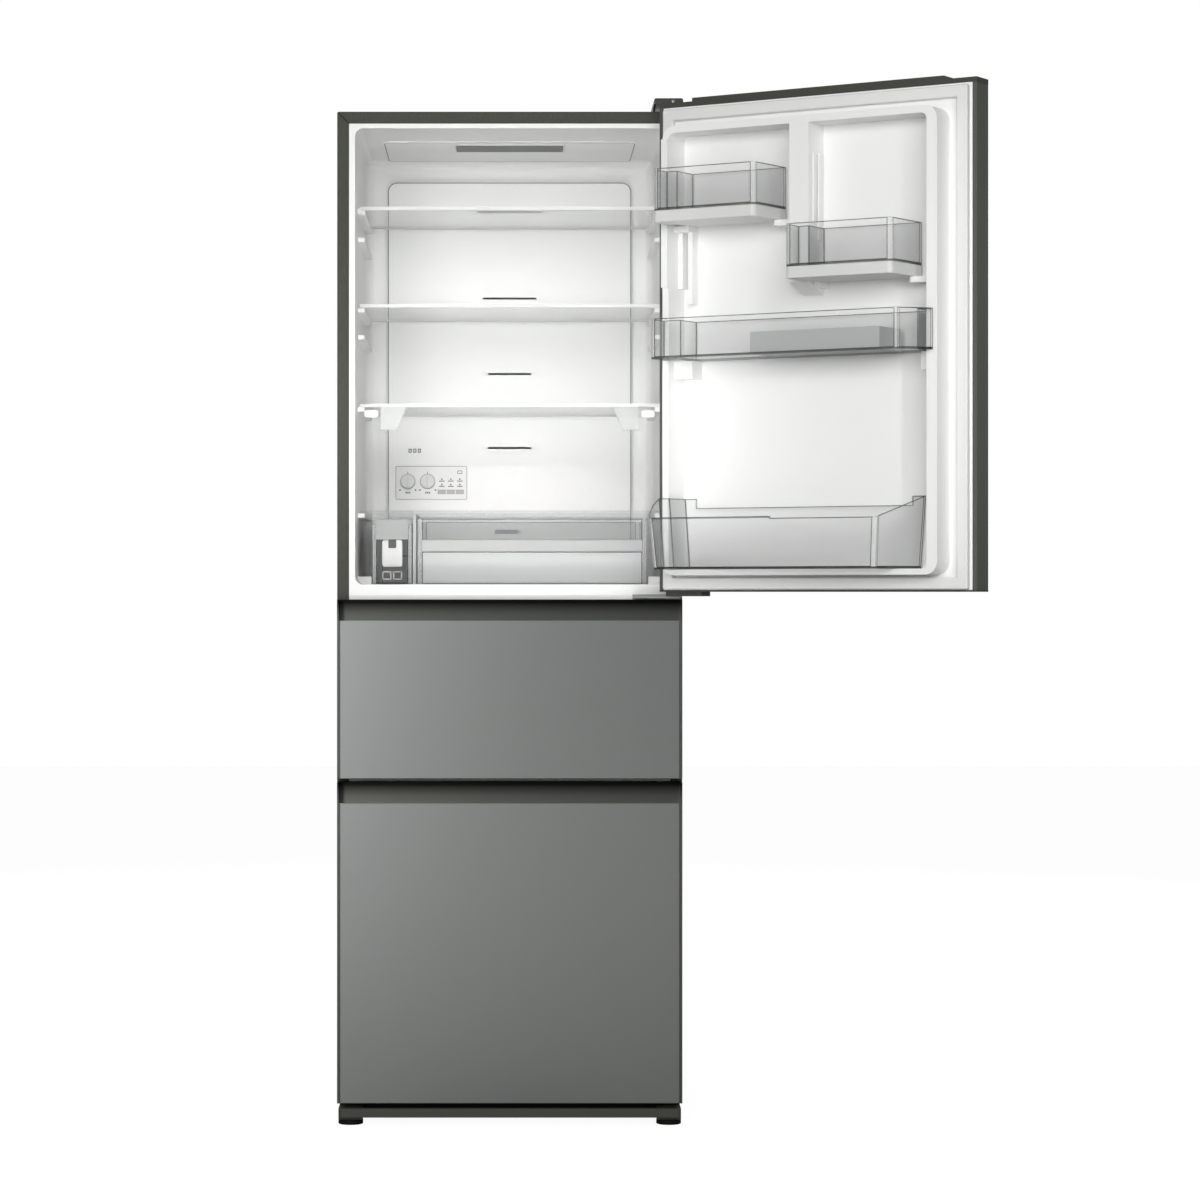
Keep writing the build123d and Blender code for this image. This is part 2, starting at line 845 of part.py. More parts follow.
def open_box(low, high, wall, corner):
    """An open-topped box with round upright edges."""
    width = high[0] - low[0]
    depth = high[1] - low[1]
    middle = ((low[0] + high[0]) / 2, (low[1] + high[1]) / 2)
    with BuildPart() as box:
        with BuildSketch(Plane.XY.offset(low[2])):
            with Locations(middle):
                RectangleRounded(width, depth, corner)
        extrude(amount=high[2] - low[2])
        with BuildSketch(Plane.XY.offset(low[2] + wall)):
            with Locations(middle):
                RectangleRounded(width - 2 * wall, depth - 2 * wall, corner - wall)
        extrude(amount=high[2] - low[2], mode=Mode.SUBTRACT)
    return box.part


case_floor = fridge_floor + run
case_top = case_floor + case_height
case_shell = open_box(
    (case_left, case_front, case_floor), (case_right, case_rear, case_top), case_wall, case_corner
)

# Chilled case: the clear drawer at the bottom of the fridge
with BuildPart() as chilled_case:
    add(case_shell)
chilled_case.part.label = "chilled_case"
export_step(chilled_case.part, "parts/chilled_case.step")

# Case handle: the white bar across the front of the chilled case
with BuildPart() as case_handle:
    block(
        (case_left + case_corner, case_front - handle_stand, case_floor + handle_bottom),
        (case_right - case_corner, case_front, case_floor + handle_bottom + handle_height),
    )
    chamfer(case_handle.edges().group_by(Axis.Y)[0].filter_by(Axis.X), handle_chamfer)
case_handle.part.label = "case_handle"
export_step(case_handle.part, "parts/case_handle.step")

tank_top = case_floor + tank_height
tank_shell = open_box(
    (tank_left, case_front, case_floor), (tank_right, tank_rear, tank_top), tank_wall, tank_corner
)

# Water tank for the ice maker
with BuildPart() as water_tank:
    add(tank_shell)
water_tank.part.label = "water_tank"
export_step(water_tank.part, "parts/water_tank.step")

# Tank cap: the lid of the water tank, with its white front band
with BuildPart() as tank_cap:
    with BuildSketch(Plane.XY.offset(tank_top)):
        with Locations(((tank_left + tank_right) / 2, (case_front + tank_rear) / 2)):
            RectangleRounded(tank_width, tank_rear - case_front, tank_corner)
    extrude(amount=tank_lid)
    block(
        (tank_left + tank_corner, case_front - panel_wall, tank_top - tank_band),
        (tank_right - tank_corner, case_front, tank_top + tank_lid),
    )
tank_cap.part.label = "tank_cap"
export_step(tank_cap.part, "parts/tank_cap.step")


def front_body(bottom, top):
    """A drawer front: foam-filled body with side trims, panel seat and grip recess."""
    panel_top = top - grip_height
    inside = front_half - trim_width
    with BuildPart() as body:
        block((-front_half, front_face, bottom), (front_half, front_rear, top))
        block(
            (-inside, front_face - overrun, bottom),
            (inside, front_face + panel_sheet, panel_top),
            Mode.SUBTRACT,
        )
        with BuildSketch(Plane.YZ.offset(-inside)) as grip:
            pocket = front_face + grip_lip
            wall = front_face + grip_depth
            with BuildLine():
                Polyline(
                    (front_face - overrun, panel_top),
                    (pocket, panel_top),
                    (pocket, panel_top - grip_pocket),
                    (wall - grip_lean, panel_top - grip_pocket),
                    (wall, top),
                    (wall, top + overrun),
                    (front_face - overrun, top + overrun),
                    close=True,
                )
            make_face()
            fillet(grip.vertices().group_by(Axis.Y)[0], grip_corner)
        extrude(amount=2 * inside, mode=Mode.SUBTRACT)
    return body.part


def front_panel(bottom, top):
    """The metal face of a drawer front."""
    edge = front_half - trim_width - panel_gap
    with BuildPart() as panel:
        block(
            (-edge, front_face, bottom + panel_margin),
            (edge, front_face + panel_sheet, top - grip_height),
        )
    return panel.part


def gasket_ring(bottom, top):
    """The soft frame between a drawer front and the cabinet."""
    edge = front_half - gasket_inset
    hole = edge - gasket_width
    low = bottom + gasket_inset
    high = top - gasket_inset
    with BuildPart() as ring:
        block((-edge, front_rear, low), (edge, -run, high))
        block(
            (-hole, front_rear - overrun, low + gasket_width),
            (hole, overrun, high - gasket_width),
            Mode.SUBTRACT,
        )
    return ring.part


def drawer_box(bottom, top, rear):
    """An open drawer box whose side flanges hang on the inner rails."""
    shell = open_box((-box_half, box_front, bottom), (box_half, rear, top), box_wall, box_corner)
    with BuildPart() as box:
        add(shell)
        both_sides(
            (box_half - box_wall, box_front + box_corner, top - box_flange),
            (box_half + flange_reach, rear - box_corner, top),
        )
    return box.part




def rail_pair(inner, front, length, top):
    """One rail on each side."""
    with BuildPart() as rails:
        both_sides((inner, front, top - rail_height), (inner + rail_sheet, front + length, top))
    return rails.part



# Fixed rails: one pair for each drawer, on the liner walls
with BuildPart() as fixed_rails:
    add(rail_pair(fixed_rail_inner, rail_front, vegetable_rail_length, vegetable_rail_top - run))
    add(rail_pair(fixed_rail_inner, rail_front, freezer_rail_length, freezer_rail_top - run))
fixed_rails.part.label = "fixed_rails"
export_step(fixed_rails.part, "parts/fixed_rails.step")

# Vegetable drawer
with BuildPart() as vegetable_front:
    add(front_body(vegetable_front_bottom, vegetable_front_top))
vegetable_front.part.label = "vegetable_front"
export_step(vegetable_front.part, "parts/vegetable_front.step")

with BuildPart() as vegetable_panel:
    add(front_panel(vegetable_front_bottom, vegetable_front_top))
vegetable_panel.part.label = "vegetable_panel"
export_step(vegetable_panel.part, "parts/vegetable_panel.step")

with BuildPart() as vegetable_gasket:
    add(gasket_ring(vegetable_front_bottom, vegetable_front_top))
vegetable_gasket.part.label = "vegetable_gasket"
export_step(vegetable_gasket.part, "parts/vegetable_gasket.step")

with BuildPart() as vegetable_box:
    add(drawer_box(vegetable_box_bottom, vegetable_box_top, vegetable_box_rear))
vegetable_box.part.label = "vegetable_box"
export_step(vegetable_box.part, "parts/vegetable_box.step")

with BuildPart() as vegetable_rails:
    add(rail_pair(inner_rail_inner, front_rear, vegetable_rail_length, vegetable_rail_top))
vegetable_rails.part.label = "vegetable_rails"
export_step(vegetable_rails.part, "parts/vegetable_rails.step")

with BuildPart() as vegetable_slides:
    add(rail_pair(middle_rail_inner, rail_front, vegetable_rail_length, vegetable_rail_top - run))
vegetable_slides.part.label = "vegetable_slides"
export_step(vegetable_slides.part, "parts/vegetable_slides.step")

# Freezer drawer
with BuildPart() as freezer_front:
    add(front_body(freezer_front_bottom, freezer_front_top))
freezer_front.part.label = "freezer_front"
export_step(freezer_front.part, "parts/freezer_front.step")

with BuildPart() as freezer_panel:
    add(front_panel(freezer_front_bottom, freezer_front_top))
freezer_panel.part.label = "freezer_panel"
export_step(freezer_panel.part, "parts/freezer_panel.step")

with BuildPart() as freezer_gasket:
    add(gasket_ring(freezer_front_bottom, freezer_front_top))
freezer_gasket.part.label = "freezer_gasket"
export_step(freezer_gasket.part, "parts/freezer_gasket.step")

with BuildPart() as freezer_box:
    add(drawer_box(freezer_box_bottom, freezer_box_top, freezer_box_rear))
freezer_box.part.label = "freezer_box"
export_step(freezer_box.part, "parts/freezer_box.step")

with BuildPart() as freezer_rails:
    add(rail_pair(inner_rail_inner, front_rear, freezer_rail_length, freezer_rail_top))
freezer_rails.part.label = "freezer_rails"
export_step(freezer_rails.part, "parts/freezer_rails.step")

with BuildPart() as freezer_slides:
    add(rail_pair(middle_rail_inner, rail_front, freezer_rail_length, freezer_rail_top - run))
freezer_slides.part.label = "freezer_slides"
export_step(freezer_slides.part, "parts/freezer_slides.step")

freezer_tray_bottom = freezer_box_top + run
freezer_tray_shell = open_box(
    (-box_half, tray_front, freezer_tray_bottom),
    (box_half, tray_rear, freezer_tray_bottom + tray_height),
    box_wall,
    box_corner,
)

# Freezer tray: the shallow sliding tray on top of the freezer box
with BuildPart() as freezer_tray:
    add(freezer_tray_shell)
freezer_tray.part.label = "freezer_tray"
export_step(freezer_tray.part, "parts/freezer_tray.step")

cover_plate = tunnel(freezer_step, freezer_ceiling, cover_front, cover_front + cover_sheet)
fan_y = cover_front + cover_sheet / 2
motor_face = fan_y + fan_depth / 2 + run
motor_rear = motor_face + motor_depth
arm_reach = fan_radius + fan_gap + motor_arm_width

# Freezer cover: the inner rear wall with the fan opening, and the fan motor on four legs
with BuildPart() as freezer_cover:
    add(cover_plate)
    round_bar((0, motor_face, fan_level), to_front, fan_radius + fan_gap, motor_face, Mode.SUBTRACT)
    round_bar((0, motor_rear, fan_level), to_front, motor_radius, motor_depth)
    round_bar((0, motor_face, fan_level), to_front, fan_pin, run + fan_depth)
    with BuildSketch(Plane(origin=(0, motor_rear, fan_level), z_dir=to_front)):
        Rectangle(2 * arm_reach, motor_arm_width)
        Rectangle(motor_arm_width, 2 * arm_reach)
    extrude(amount=motor_arm_width)
    with BuildSketch(Plane(origin=(0, motor_rear, fan_level), z_dir=to_front)):
        with PolarLocations(arm_reach - motor_arm_width / 2, 4):
            Rectangle(motor_arm_width, motor_arm_width)
    extrude(amount=motor_rear - fan_y)
freezer_cover.part.label = "freezer_cover"
export_step(freezer_cover.part, "parts/freezer_cover.step")

# Evaporator fan
with BuildPart(Plane(origin=(0, fan_y, fan_level), z_dir=to_front)) as evaporator_fan:
    Cylinder(fan_hub_radius, fan_depth)
    with PolarLocations((fan_hub_radius + fan_radius) / 2 - blade_thickness, fan_blades):
        Box(fan_radius - fan_hub_radius, blade_width, blade_thickness, rotation=(blade_angle, 0, 0))
    Cylinder(fan_pin + pin_play, fan_depth + overrun, mode=Mode.SUBTRACT)
evaporator_fan.part.label = "evaporator_fan"
export_step(evaporator_fan.part, "parts/evaporator_fan.step")

# Evaporator: upright fins on rows of tube
with BuildPart() as evaporator:
    fin_pitch = 2 * evaporator_half / fin_count
    evaporator_middle = (evaporator_front + evaporator_depth / 2, evaporator_bottom + evaporator_height / 2)
    with Locations((0, evaporator_middle[0], evaporator_middle[1])):
        with GridLocations(fin_pitch, 0, fin_count, 1):
            Box(fin_sheet, evaporator_depth, evaporator_height)
    with BuildSketch(Plane.YZ.offset(-evaporator_half)):
        with Locations(evaporator_middle):
            with GridLocations(evaporator_depth / 2, evaporator_height / tube_rows, 2, tube_rows):
                Circle(tube_radius)
    extrude(amount=2 * evaporator_half)
    both_sides(
        (evaporator_half - evaporator_plate, cover_front + cover_sheet, evaporator_bottom),
        (evaporator_half, evaporator_front + evaporator_depth, evaporator_bottom + evaporator_height),
    )
evaporator.part.label = "evaporator"
export_step(evaporator.part, "parts/evaporator.step")

ice_level = freezer_ceiling - ice_axis_drop
ice_tray_rear = ice_tray_front + ice_tray_length
ice_rear = ice_tray_rear + ice_gap + ice_rail

# Ice maker: the drive box and rear bracket that hang from the freezer ceiling
with BuildPart() as ice_maker:
    block(
        (
            ice_axis_x - ice_drive_half,
            ice_tray_front - ice_gap - ice_drive_depth,
            freezer_ceiling - ice_drive_height,
        ),
        (ice_axis_x + ice_drive_half, ice_tray_front - ice_gap, freezer_ceiling),
    )
    block(
        (ice_axis_x - ice_rail, ice_tray_rear + ice_gap, ice_level - ice_bearing_drop),
        (ice_axis_x + ice_rail, ice_rear, freezer_ceiling),
    )
    block(
        (ice_axis_x - ice_drive_half, ice_tray_front - ice_gap, freezer_ceiling - ice_rail_sheet),
        (ice_axis_x - ice_drive_half + ice_bearing_drop, ice_rear, freezer_ceiling),
    )
    block(
        (ice_axis_x - ice_drive_half, ice_tray_rear + ice_gap, freezer_ceiling - ice_rail_sheet),
        (ice_axis_x, ice_rear, freezer_ceiling),
    )
    round_bar((ice_axis_x, ice_rear, ice_level), to_front, ice_pin + pin_play, ice_rear, Mode.SUBTRACT)
ice_maker.part.label = "ice_maker"
export_step(ice_maker.part, "parts/ice_maker.step")

# Ice tray: it turns over on its two end pins
with BuildPart() as ice_tray:
    block(
        (ice_axis_x - ice_tray_half, ice_tray_front, ice_level - ice_tray_height / 2),
        (ice_axis_x + ice_tray_half, ice_tray_rear, ice_level + ice_tray_height / 2),
    )
    cup_width = (2 * ice_tray_half - ice_tray_wall) / ice_rows - ice_tray_wall
    cup_length = (ice_tray_length - ice_tray_wall) / ice_columns - ice_tray_wall
    with Locations((ice_axis_x, (ice_tray_front + ice_tray_rear) / 2, ice_level + ice_tray_wall)):
        with GridLocations(cup_width + ice_tray_wall, cup_length + ice_tray_wall, ice_rows, ice_columns):
            Box(cup_width, cup_length, ice_tray_height, mode=Mode.SUBTRACT)
    round_bar((ice_axis_x, ice_tray_front, ice_level), to_front, ice_pin, ice_gap + ice_drive_depth / 2)
    round_bar((ice_axis_x, ice_rear, ice_level), to_front, ice_pin, ice_gap + ice_rail)
ice_tray.part.label = "ice_tray"
export_step(ice_tray.part, "parts/ice_tray.step")

compressor_y = machine_front + machine_depth / 2
compressor_floor = cabinet_bottom + tray_sheet
can_bottom = compressor_floor + grommet_height + compressor_plate

# Compressor: a welded can on a foot plate with rubber grommets
with BuildPart() as compressor:
    with BuildSketch(Plane.XY.offset(can_bottom)):
        with Locations((compressor_x, compressor_y)):
            Circle(compressor_radius)
    extrude(amount=compressor_height)
    fillet(compressor.edges().group_by(Axis.Z)[-1], compressor_round)
    block(
        (
            compressor_x - compressor_plate_half,
            compressor_y - compressor_radius,
            can_bottom - compressor_plate,
        ),
        (compressor_x + compressor_plate_half, compressor_y + compressor_radius, can_bottom),
    )
    with BuildSketch(Plane.XY.offset(compressor_floor)):
        with Locations((compressor_x, compressor_y)):
            with GridLocations(
                2 * (compressor_plate_half - grommet_radius), 2 * (compressor_radius - grommet_radius), 2, 2
            ):
                Circle(grommet_radius)
    extrude(amount=grommet_height)
    pipe_x = compressor_x + compressor_radius - pipe_radius
    round_bar((pipe_x, compressor_y, can_bottom + compressor_height / 2), to_right, pipe_radius, pipe_reach)
compressor.part.label = "compressor"
export_step(compressor.part, "parts/compressor.step")

machine_cover_low = cabinet_bottom + tray_sheet
machine_cover_high = machine_top - tray_sheet

# Machine cover: the louvred plate over the machine room
with BuildPart() as machine_cover:
    block(
        (-inner_half, cabinet_depth - sheet, machine_cover_low),
        (inner_half, cabinet_depth, machine_cover_high),
    )
    with Locations((0, cabinet_depth, (machine_cover_low + machine_cover_high) / 2)):
        for row in range(louvre_count):
            level = (row - (louvre_count - 1) / 2) * louvre_pitch
            with Locations((-louvre_x, 0, level), (louvre_x, 0, level)):
                Box(louvre_length, overrun, louvre_height, mode=Mode.SUBTRACT)
machine_cover.part.label = "machine_cover"
export_step(machine_cover.part, "parts/machine_cover.step")

# Power inlet: the gland in the back through which the mains lead passes
with BuildPart() as power_inlet:
    inlet_start = (inlet_x, cabinet_depth + inlet_length, inlet_level)
    round_bar(inlet_start, to_front, inlet_radius, inlet_length)
    round_bar(inlet_start, to_front, inlet_bore, inlet_length, Mode.SUBTRACT)
power_inlet.part.label = "power_inlet"
export_step(power_inlet.part, "parts/power_inlet.step")

plinth_block_x = plinth_half - foot_block

# Plinth: the kick strip, the wall behind it, and the two foot blocks that carry the cabinet
with BuildPart() as plinth:
    with BuildSketch(Plane.XY.offset(plinth_bottom)) as strip:
        with Locations((0, -plinth_front)):
            Rectangle(2 * plinth_half, plinth_thickness, align=(Align.CENTER, Align.MIN))
        fillet(strip.vertices().group_by(Axis.Y)[0], plinth_corner)
    extrude(amount=plinth_top - plinth_bottom)
    both_sides(
        (plinth_block_x, -plinth_front + plinth_corner, foot_block_bottom), (plinth_half, 0, plinth_top)
    )
    both_sides((plinth_block_x, 0, foot_block_bottom), (plinth_half, foot_block_rear, cabinet_bottom))
    block((-plinth_block_x, 0, plinth_bottom), (plinth_block_x, kick_wall_thickness, cabinet_bottom))
    for x in (-foot_x, foot_x):
        round_bar(
            (x, -foot_ahead, foot_block_bottom),
            upward,
            foot_stud + pin_play,
            foot_stud_length + run,
            Mode.SUBTRACT,
        )
plinth.part.label = "plinth"
export_step(plinth.part, "parts/plinth.step")


def foot(x):
    """A levelling foot: a flat disc on a stud."""
    with BuildPart() as disc:
        round_bar((x, -foot_ahead, 0), upward, foot_disc, foot_disc_height)
        round_bar((x, -foot_ahead, 0), upward, foot_stud, foot_block_bottom + foot_stud_length)
    return disc.part


# Front levelling feet
with BuildPart() as left_foot:
    add(foot(-foot_x))
left_foot.part.label = "left_foot"
export_step(left_foot.part, "parts/left_foot.step")

with BuildPart() as right_foot:
    add(foot(foot_x))
right_foot.part.label = "right_foot"
export_step(right_foot.part, "parts/right_foot.step")

# Rear rollers: two wheels on one axle
with BuildPart() as rear_rollers:
    axle_half = roller_x + roller_width / 2
    round_bar((-axle_half, axle_y, roller_radius), to_right, axle_radius, 2 * axle_half)
    for x in (-roller_x, roller_x):
        round_bar((x - roller_width / 2, axle_y, roller_radius), to_right, roller_radius, roller_width)
rear_rollers.part.label = "rear_rollers"
export_step(rear_rollers.part, "parts/rear_rollers.step")

tongue_bottom = cap_top + bracket_clearance
tongue_top = tongue_bottom + bracket_sheet
tongue_front = hinge_y - pin_cover

# Top hinge: the bracket on the cabinet top, with the pin that enters the door
with BuildPart() as top_hinge:
    block((bracket_left, 0, cabinet_top), (bracket_right, bracket_rear, cabinet_top + bracket_sheet))
    block((bracket_left, 0, cabinet_top), (bracket_right, bracket_sheet, tongue_top))
    block((bracket_left, tongue_front, tongue_bottom), (bracket_right, bracket_sheet, tongue_top))
    round_bar((hinge_x, hinge_y, door_top + run), upward, hinge_pin, tongue_top - door_top - run)
    hinge_screw_holes()
top_hinge.part.label = "top_hinge"
export_step(top_hinge.part, "parts/top_hinge.step")

# Hinge cover: the cap over the top hinge, clear of the door's top edge
with BuildPart() as hinge_cover:
    cover_top = cabinet_top + cover_height
    cover_front_edge = hinge_y - cover_ahead
    block((cover_left, 0, cabinet_top), (cover_right, cover_behind, cover_top))
    block((cover_left, cover_front_edge, cap_top + cover_clearance), (cover_right, 0, cover_top))
    fillet(hinge_cover.edges().group_by(Axis.Z)[-1], cover_round)
    block(
        (cover_left + cover_shell, cover_front_edge + cover_shell, cabinet_top - overrun),
        (cover_right - cover_shell, cover_behind - cover_shell, cover_top - cover_shell - cover_round_wall),
        Mode.SUBTRACT,
    )
hinge_cover.part.label = "hinge_cover"
export_step(hinge_cover.part, "parts/hinge_cover.step")

# Middle hinge: the plate between the door and the upper drawer
with BuildPart() as middle_hinge:
    block((middle_bracket_left, tongue_front, middle_bottom), (middle_bracket_right, 0, middle_top))
    block(
        (middle_bracket_left, -bracket_sheet, vegetable_front_top - middle_flange_drop),
        (middle_bracket_right, 0, middle_top + middle_flange),
    )
    middle_pin_top = door_bottom + bottom_cap - run
    round_bar((hinge_x, hinge_y, middle_bottom), upward, hinge_pin, middle_pin_top - middle_bottom)
    hinge_screw_holes()
middle_hinge.part.label = "middle_hinge"
export_step(middle_hinge.part, "parts/middle_hinge.step")

# Hinge screws: two for each bracket
with BuildPart() as hinge_screws:
    for y in (bracket_rear / 2 - screw_pitch / 2, bracket_rear / 2 + screw_pitch / 2):
        round_bar((top_screw_x, y, top_screw_level - screw_length), upward, screw_radius, screw_length)
        round_bar((top_screw_x, y, top_screw_level), upward, screw_head, screw_head_height)
    for x in (middle_screw_x - screw_pitch / 2, middle_screw_x + screw_pitch / 2):
        start = (x, screw_length - bracket_sheet, middle_screw_level)
        round_bar(start, to_front, screw_radius, screw_length)
        round_bar((x, -bracket_sheet, middle_screw_level), to_front, screw_head, screw_head_height)
hinge_screws.part.label = "hinge_screws"
export_step(hinge_screws.part, "parts/hinge_screws.step")

# The open door stands turned about its hinge. On it, across runs from the hinge
# edge to the free edge and out runs from the inner face toward the food.
across = (-cos(radians(door_open)), -sin(radians(door_open)), 0)
out = (-sin(radians(door_open)), cos(radians(door_open)), 0)
corner_x = hinge_x - hinge_inset * across[0] + hinge_depth * out[0]
corner_y = hinge_y - hinge_inset * across[1] + hinge_depth * out[1]


def door_plan(level):
    """A level plane on the door, across by out."""
    return Plane(origin=(corner_x, corner_y, level), x_dir=across, z_dir=(0, 0, -1))


def door_face(reach):
    """An upright plane in front of the door's inner face, across by height."""
    origin = (corner_x + reach * out[0], corner_y + reach * out[1], 0)
    return Plane(origin=origin, x_dir=across, z_dir=out)


def door_side(distance):
    """An upright plane at a distance across the door, out by height."""
    origin = (corner_x + distance * across[0], corner_y + distance * across[1], 0)
    return Plane(origin=origin, x_dir=out, z_dir=(-across[0], -across[1], 0))


def door_block(low, high, mode=Mode.ADD):
    """A block on the door between two corners given across, out and up."""
    with BuildSketch(door_plan(low[2])) as section:
        with Locations(((low[0] + high[0]) / 2, (low[1] + high[1]) / 2)):
            Rectangle(high[0] - low[0], high[1] - low[1])
    extrude(section.sketch, amount=low[2] - high[2], mode=mode)


def door_frame(reach, left, right, bottom, top, corner, depth, mode=Mode.ADD):
    """A block with round corners on the door's inner face."""
    with BuildSketch(door_face(reach)) as section:
        with Locations(((left + right) / 2, (bottom + top) / 2)):
            RectangleRounded(right - left, top - bottom, corner)
    extrude(section.sketch, amount=depth, mode=mode)


core_bottom = door_bottom + bottom_cap
dike_right = front_width - dike_free_inset
dike_bottom = door_bottom + dike_bottom_inset
dike_top = door_top - dike_top_inset
bottle_bin_bottom = dike_bottom + dike_low_width
pocket_left = dike_hinge_inset + dike_width
pocket_right = dike_right - dike_far_width
panel_rear = panel_sheet - front_thickness


def door_form(depth, wall, side):
    """The shape of the door's inner side, drawn in by a wall."""
    with BuildPart() as form:
        door_block((side, -depth, core_bottom), (front_width - side, -wall, door_top))
        door_frame(
            -wall,
            dike_hinge_inset + wall,
            dike_right - wall,
            dike_bottom + wall,
            dike_top - wall,
            dike_corner - wall,
            dike_height,
        )
        door_block(
            (dike_hinge_inset + wall, -wall, dike_step_level + wall),
            (pocket_left - wall, dike_height + dike_step - wall, dike_top - dike_corner),
        )
        door_frame(
            -recess - wall,
            pocket_left - wall,
            pocket_right + wall,
            dike_bottom + dike_low_width - wall,
            dike_top - dike_width + wall,
            dike_corner - dike_width + wall,
            recess + wall + dike_height + overrun,
            Mode.SUBTRACT,
        )
        with BuildSketch(door_side(pillar_start + wall)) as pillar:
            with BuildLine():
                Polyline(
                    (-recess - wall, pillar_bottom + wall),
                    (dike_height - wall, pillar_bottom + pillar_taper + wall),
                    (dike_height - wall, dike_top - dike_width / 2),
                    (-recess - wall, dike_top - dike_width / 2),
                    close=True,
                )
            make_face()
        extrude(pillar.sketch, amount=2 * wall - pillar_width)
    return form.part


# Door core: the foam inside the door
with BuildPart() as door_core:
    add(door_form(-panel_rear, liner_wall, trim_width))
    door_block(
        (0, panel_rear, core_bottom), (trim_lip, panel_rear + lip_sheet, door_top), Mode.SUBTRACT
    )
    door_block(
        (front_width - trim_lip, panel_rear, core_bottom),
        (front_width, panel_rear + lip_sheet, door_top),
        Mode.SUBTRACT,
    )
    door_block((0, -lip_sheet, core_bottom), (trim_lip, 0, door_top), Mode.SUBTRACT)
    door_block(
        (front_width - trim_lip, -lip_sheet, core_bottom), (front_width, 0, door_top), Mode.SUBTRACT
    )
door_core.part.label = "door_core"
export_step(door_core.part, "parts/door_core.step")

# Door panel: the metal face of the door
with BuildPart() as door_panel:
    door_block(
        (trim_width + panel_gap, -front_thickness, core_bottom + panel_margin),
        (front_width - trim_width - panel_gap, panel_rear, door_top - panel_margin),
    )
door_panel.part.label = "door_panel"
export_step(door_panel.part, "parts/door_panel.step")

# Door side trims: channels along both edges, which hold the panel and the liner
with BuildPart() as door_side_trims:
    for edge, lip in ((0, trim_lip), (front_width, front_width - trim_lip)):
        wall = trim_width if edge < lip else front_width - trim_width
        low, high = sorted((edge, wall))
        door_block((low, -front_thickness, core_bottom), (high, 0, door_top))
        low, high = sorted((wall, lip))
        door_block((low, -lip_sheet, core_bottom), (high, 0, door_top))
        door_block((low, panel_rear, core_bottom), (high, panel_rear + lip_sheet, door_top))
door_side_trims.part.label = "door_side_trims"
export_step(door_side_trims.part, "parts/door_side_trims.step")

# Door caps: the top edge with its raised crown, and the bottom edge with its stop
with BuildPart() as door_caps:
    door_block((0, -front_thickness, door_top), (front_width, 0, cap_top))
    with BuildSketch(door_face(0)) as crown:
        with BuildLine():
            Polyline(
                (crown_start, door_top),
                (crown_start, cap_top + cap_crown),
                (crown_end, cap_top + cap_crown),
                (crown_end + crown_slope, cap_top),
                (crown_end + crown_slope, door_top),
                close=True,
            )
        make_face()
    extrude(crown.sketch, amount=-front_thickness)
    door_block((0, -front_thickness, door_bottom), (front_width, 0, core_bottom))
    stopper_rear = -(front_thickness - stopper_width) / 2
    door_block(
        (stopper_start, stopper_rear - stopper_width, door_bottom - stopper_height),
        (stopper_end, stopper_rear, core_bottom),
    )
    hole_bottom = door_bottom - stopper_height - overrun
    bore = hinge_pin + pin_play
    round_bar((hinge_x, hinge_y, hole_bottom), upward, bore, core_bottom - hole_bottom, Mode.SUBTRACT)
    round_bar((hinge_x, hinge_y, door_top), upward, bore, cap_height + overrun, Mode.SUBTRACT)
door_caps.part.label = "door_caps"
export_step(door_caps.part, "parts/door_caps.step")


def bin_carriers(start, end, notch, low, bottom, left_wall, right_wall):
    """The lugs of the door liner on which both ends of a bin rest."""
    back = -recess - lug_root
    door_block((left_wall, back, low), (start + notch + bearing_width, boss_reach, bottom))
    door_block((end - bearing_width, back, low), (right_wall, boss_reach, bottom))


small_bins_placed = (
    (left_bin_start, left_bin_bottom, pocket_left, pillar_start),
    (right_bin_start, right_bin_bottom, pillar_start + pillar_width, pocket_right),
)

# Door liner: the vacuum-formed inner face with its raised frame, pillar and lugs
with BuildPart() as door_liner:
    add(door_form(front_thickness / 2, 0, trim_lip))
    add(door_form(front_thickness, liner_wall, trim_lip - overrun), mode=Mode.SUBTRACT)
    for start, bottom, left_wall, right_wall in small_bins_placed:
        low = bottom - small_boss_height
        bin_carriers(start, start + small_bin_width, bin_notch, low, bottom, left_wall, right_wall)
    bin_carriers(
        wide_bin_start,
        wide_bin_end - wide_bin_end_notch,
        wide_bin_notch,
        wide_bin_bottom - boss_height,
        wide_bin_bottom,
        pocket_left,
        pocket_right,
    )
    rib_top = left_bin_bottom - small_boss_height
    rib_bottom = left_bin_bottom - boss_height - rib_drop
    for rib_left, low in (
        (pocket_left - liner_wall / 2, rib_bottom),
        (pocket_left + rib_pitch, rib_bottom - rib_step),
    ):
        door_block((rib_left, -recess - lug_root, low), (rib_left + rib_width, rib_reach, rib_top))
door_liner.part.label = "door_liner"
export_step(door_liner.part, "parts/door_liner.step")

# Door gasket: the soft magnetic frame
with BuildPart() as door_gasket:
    gasket_far = front_width - gasket_inset
    gasket_low = door_bottom + door_gasket_end
    gasket_high = door_top - door_gasket_end
    door_block((gasket_inset, 0, gasket_low), (gasket_far, front_stand - run, gasket_high))
    door_block(
        (gasket_inset + gasket_width, -overrun, gasket_low + gasket_width),
        (gasket_far - gasket_width, front_stand + overrun, gasket_high - gasket_width),
        Mode.SUBTRACT,
    )
door_gasket.part.label = "door_gasket"
export_step(door_gasket.part, "parts/door_gasket.step")


def bin_section(level, corners, corner_radius):
    """A level section through a bin, round at its two front corners."""
    with BuildSketch(door_plan(level)) as section:
        with BuildLine():
            Polyline(*corners, close=True)
        make_face()
        fillet(section.vertices().group_by(Axis.Y)[-1], corner_radius)
    return section.sketch


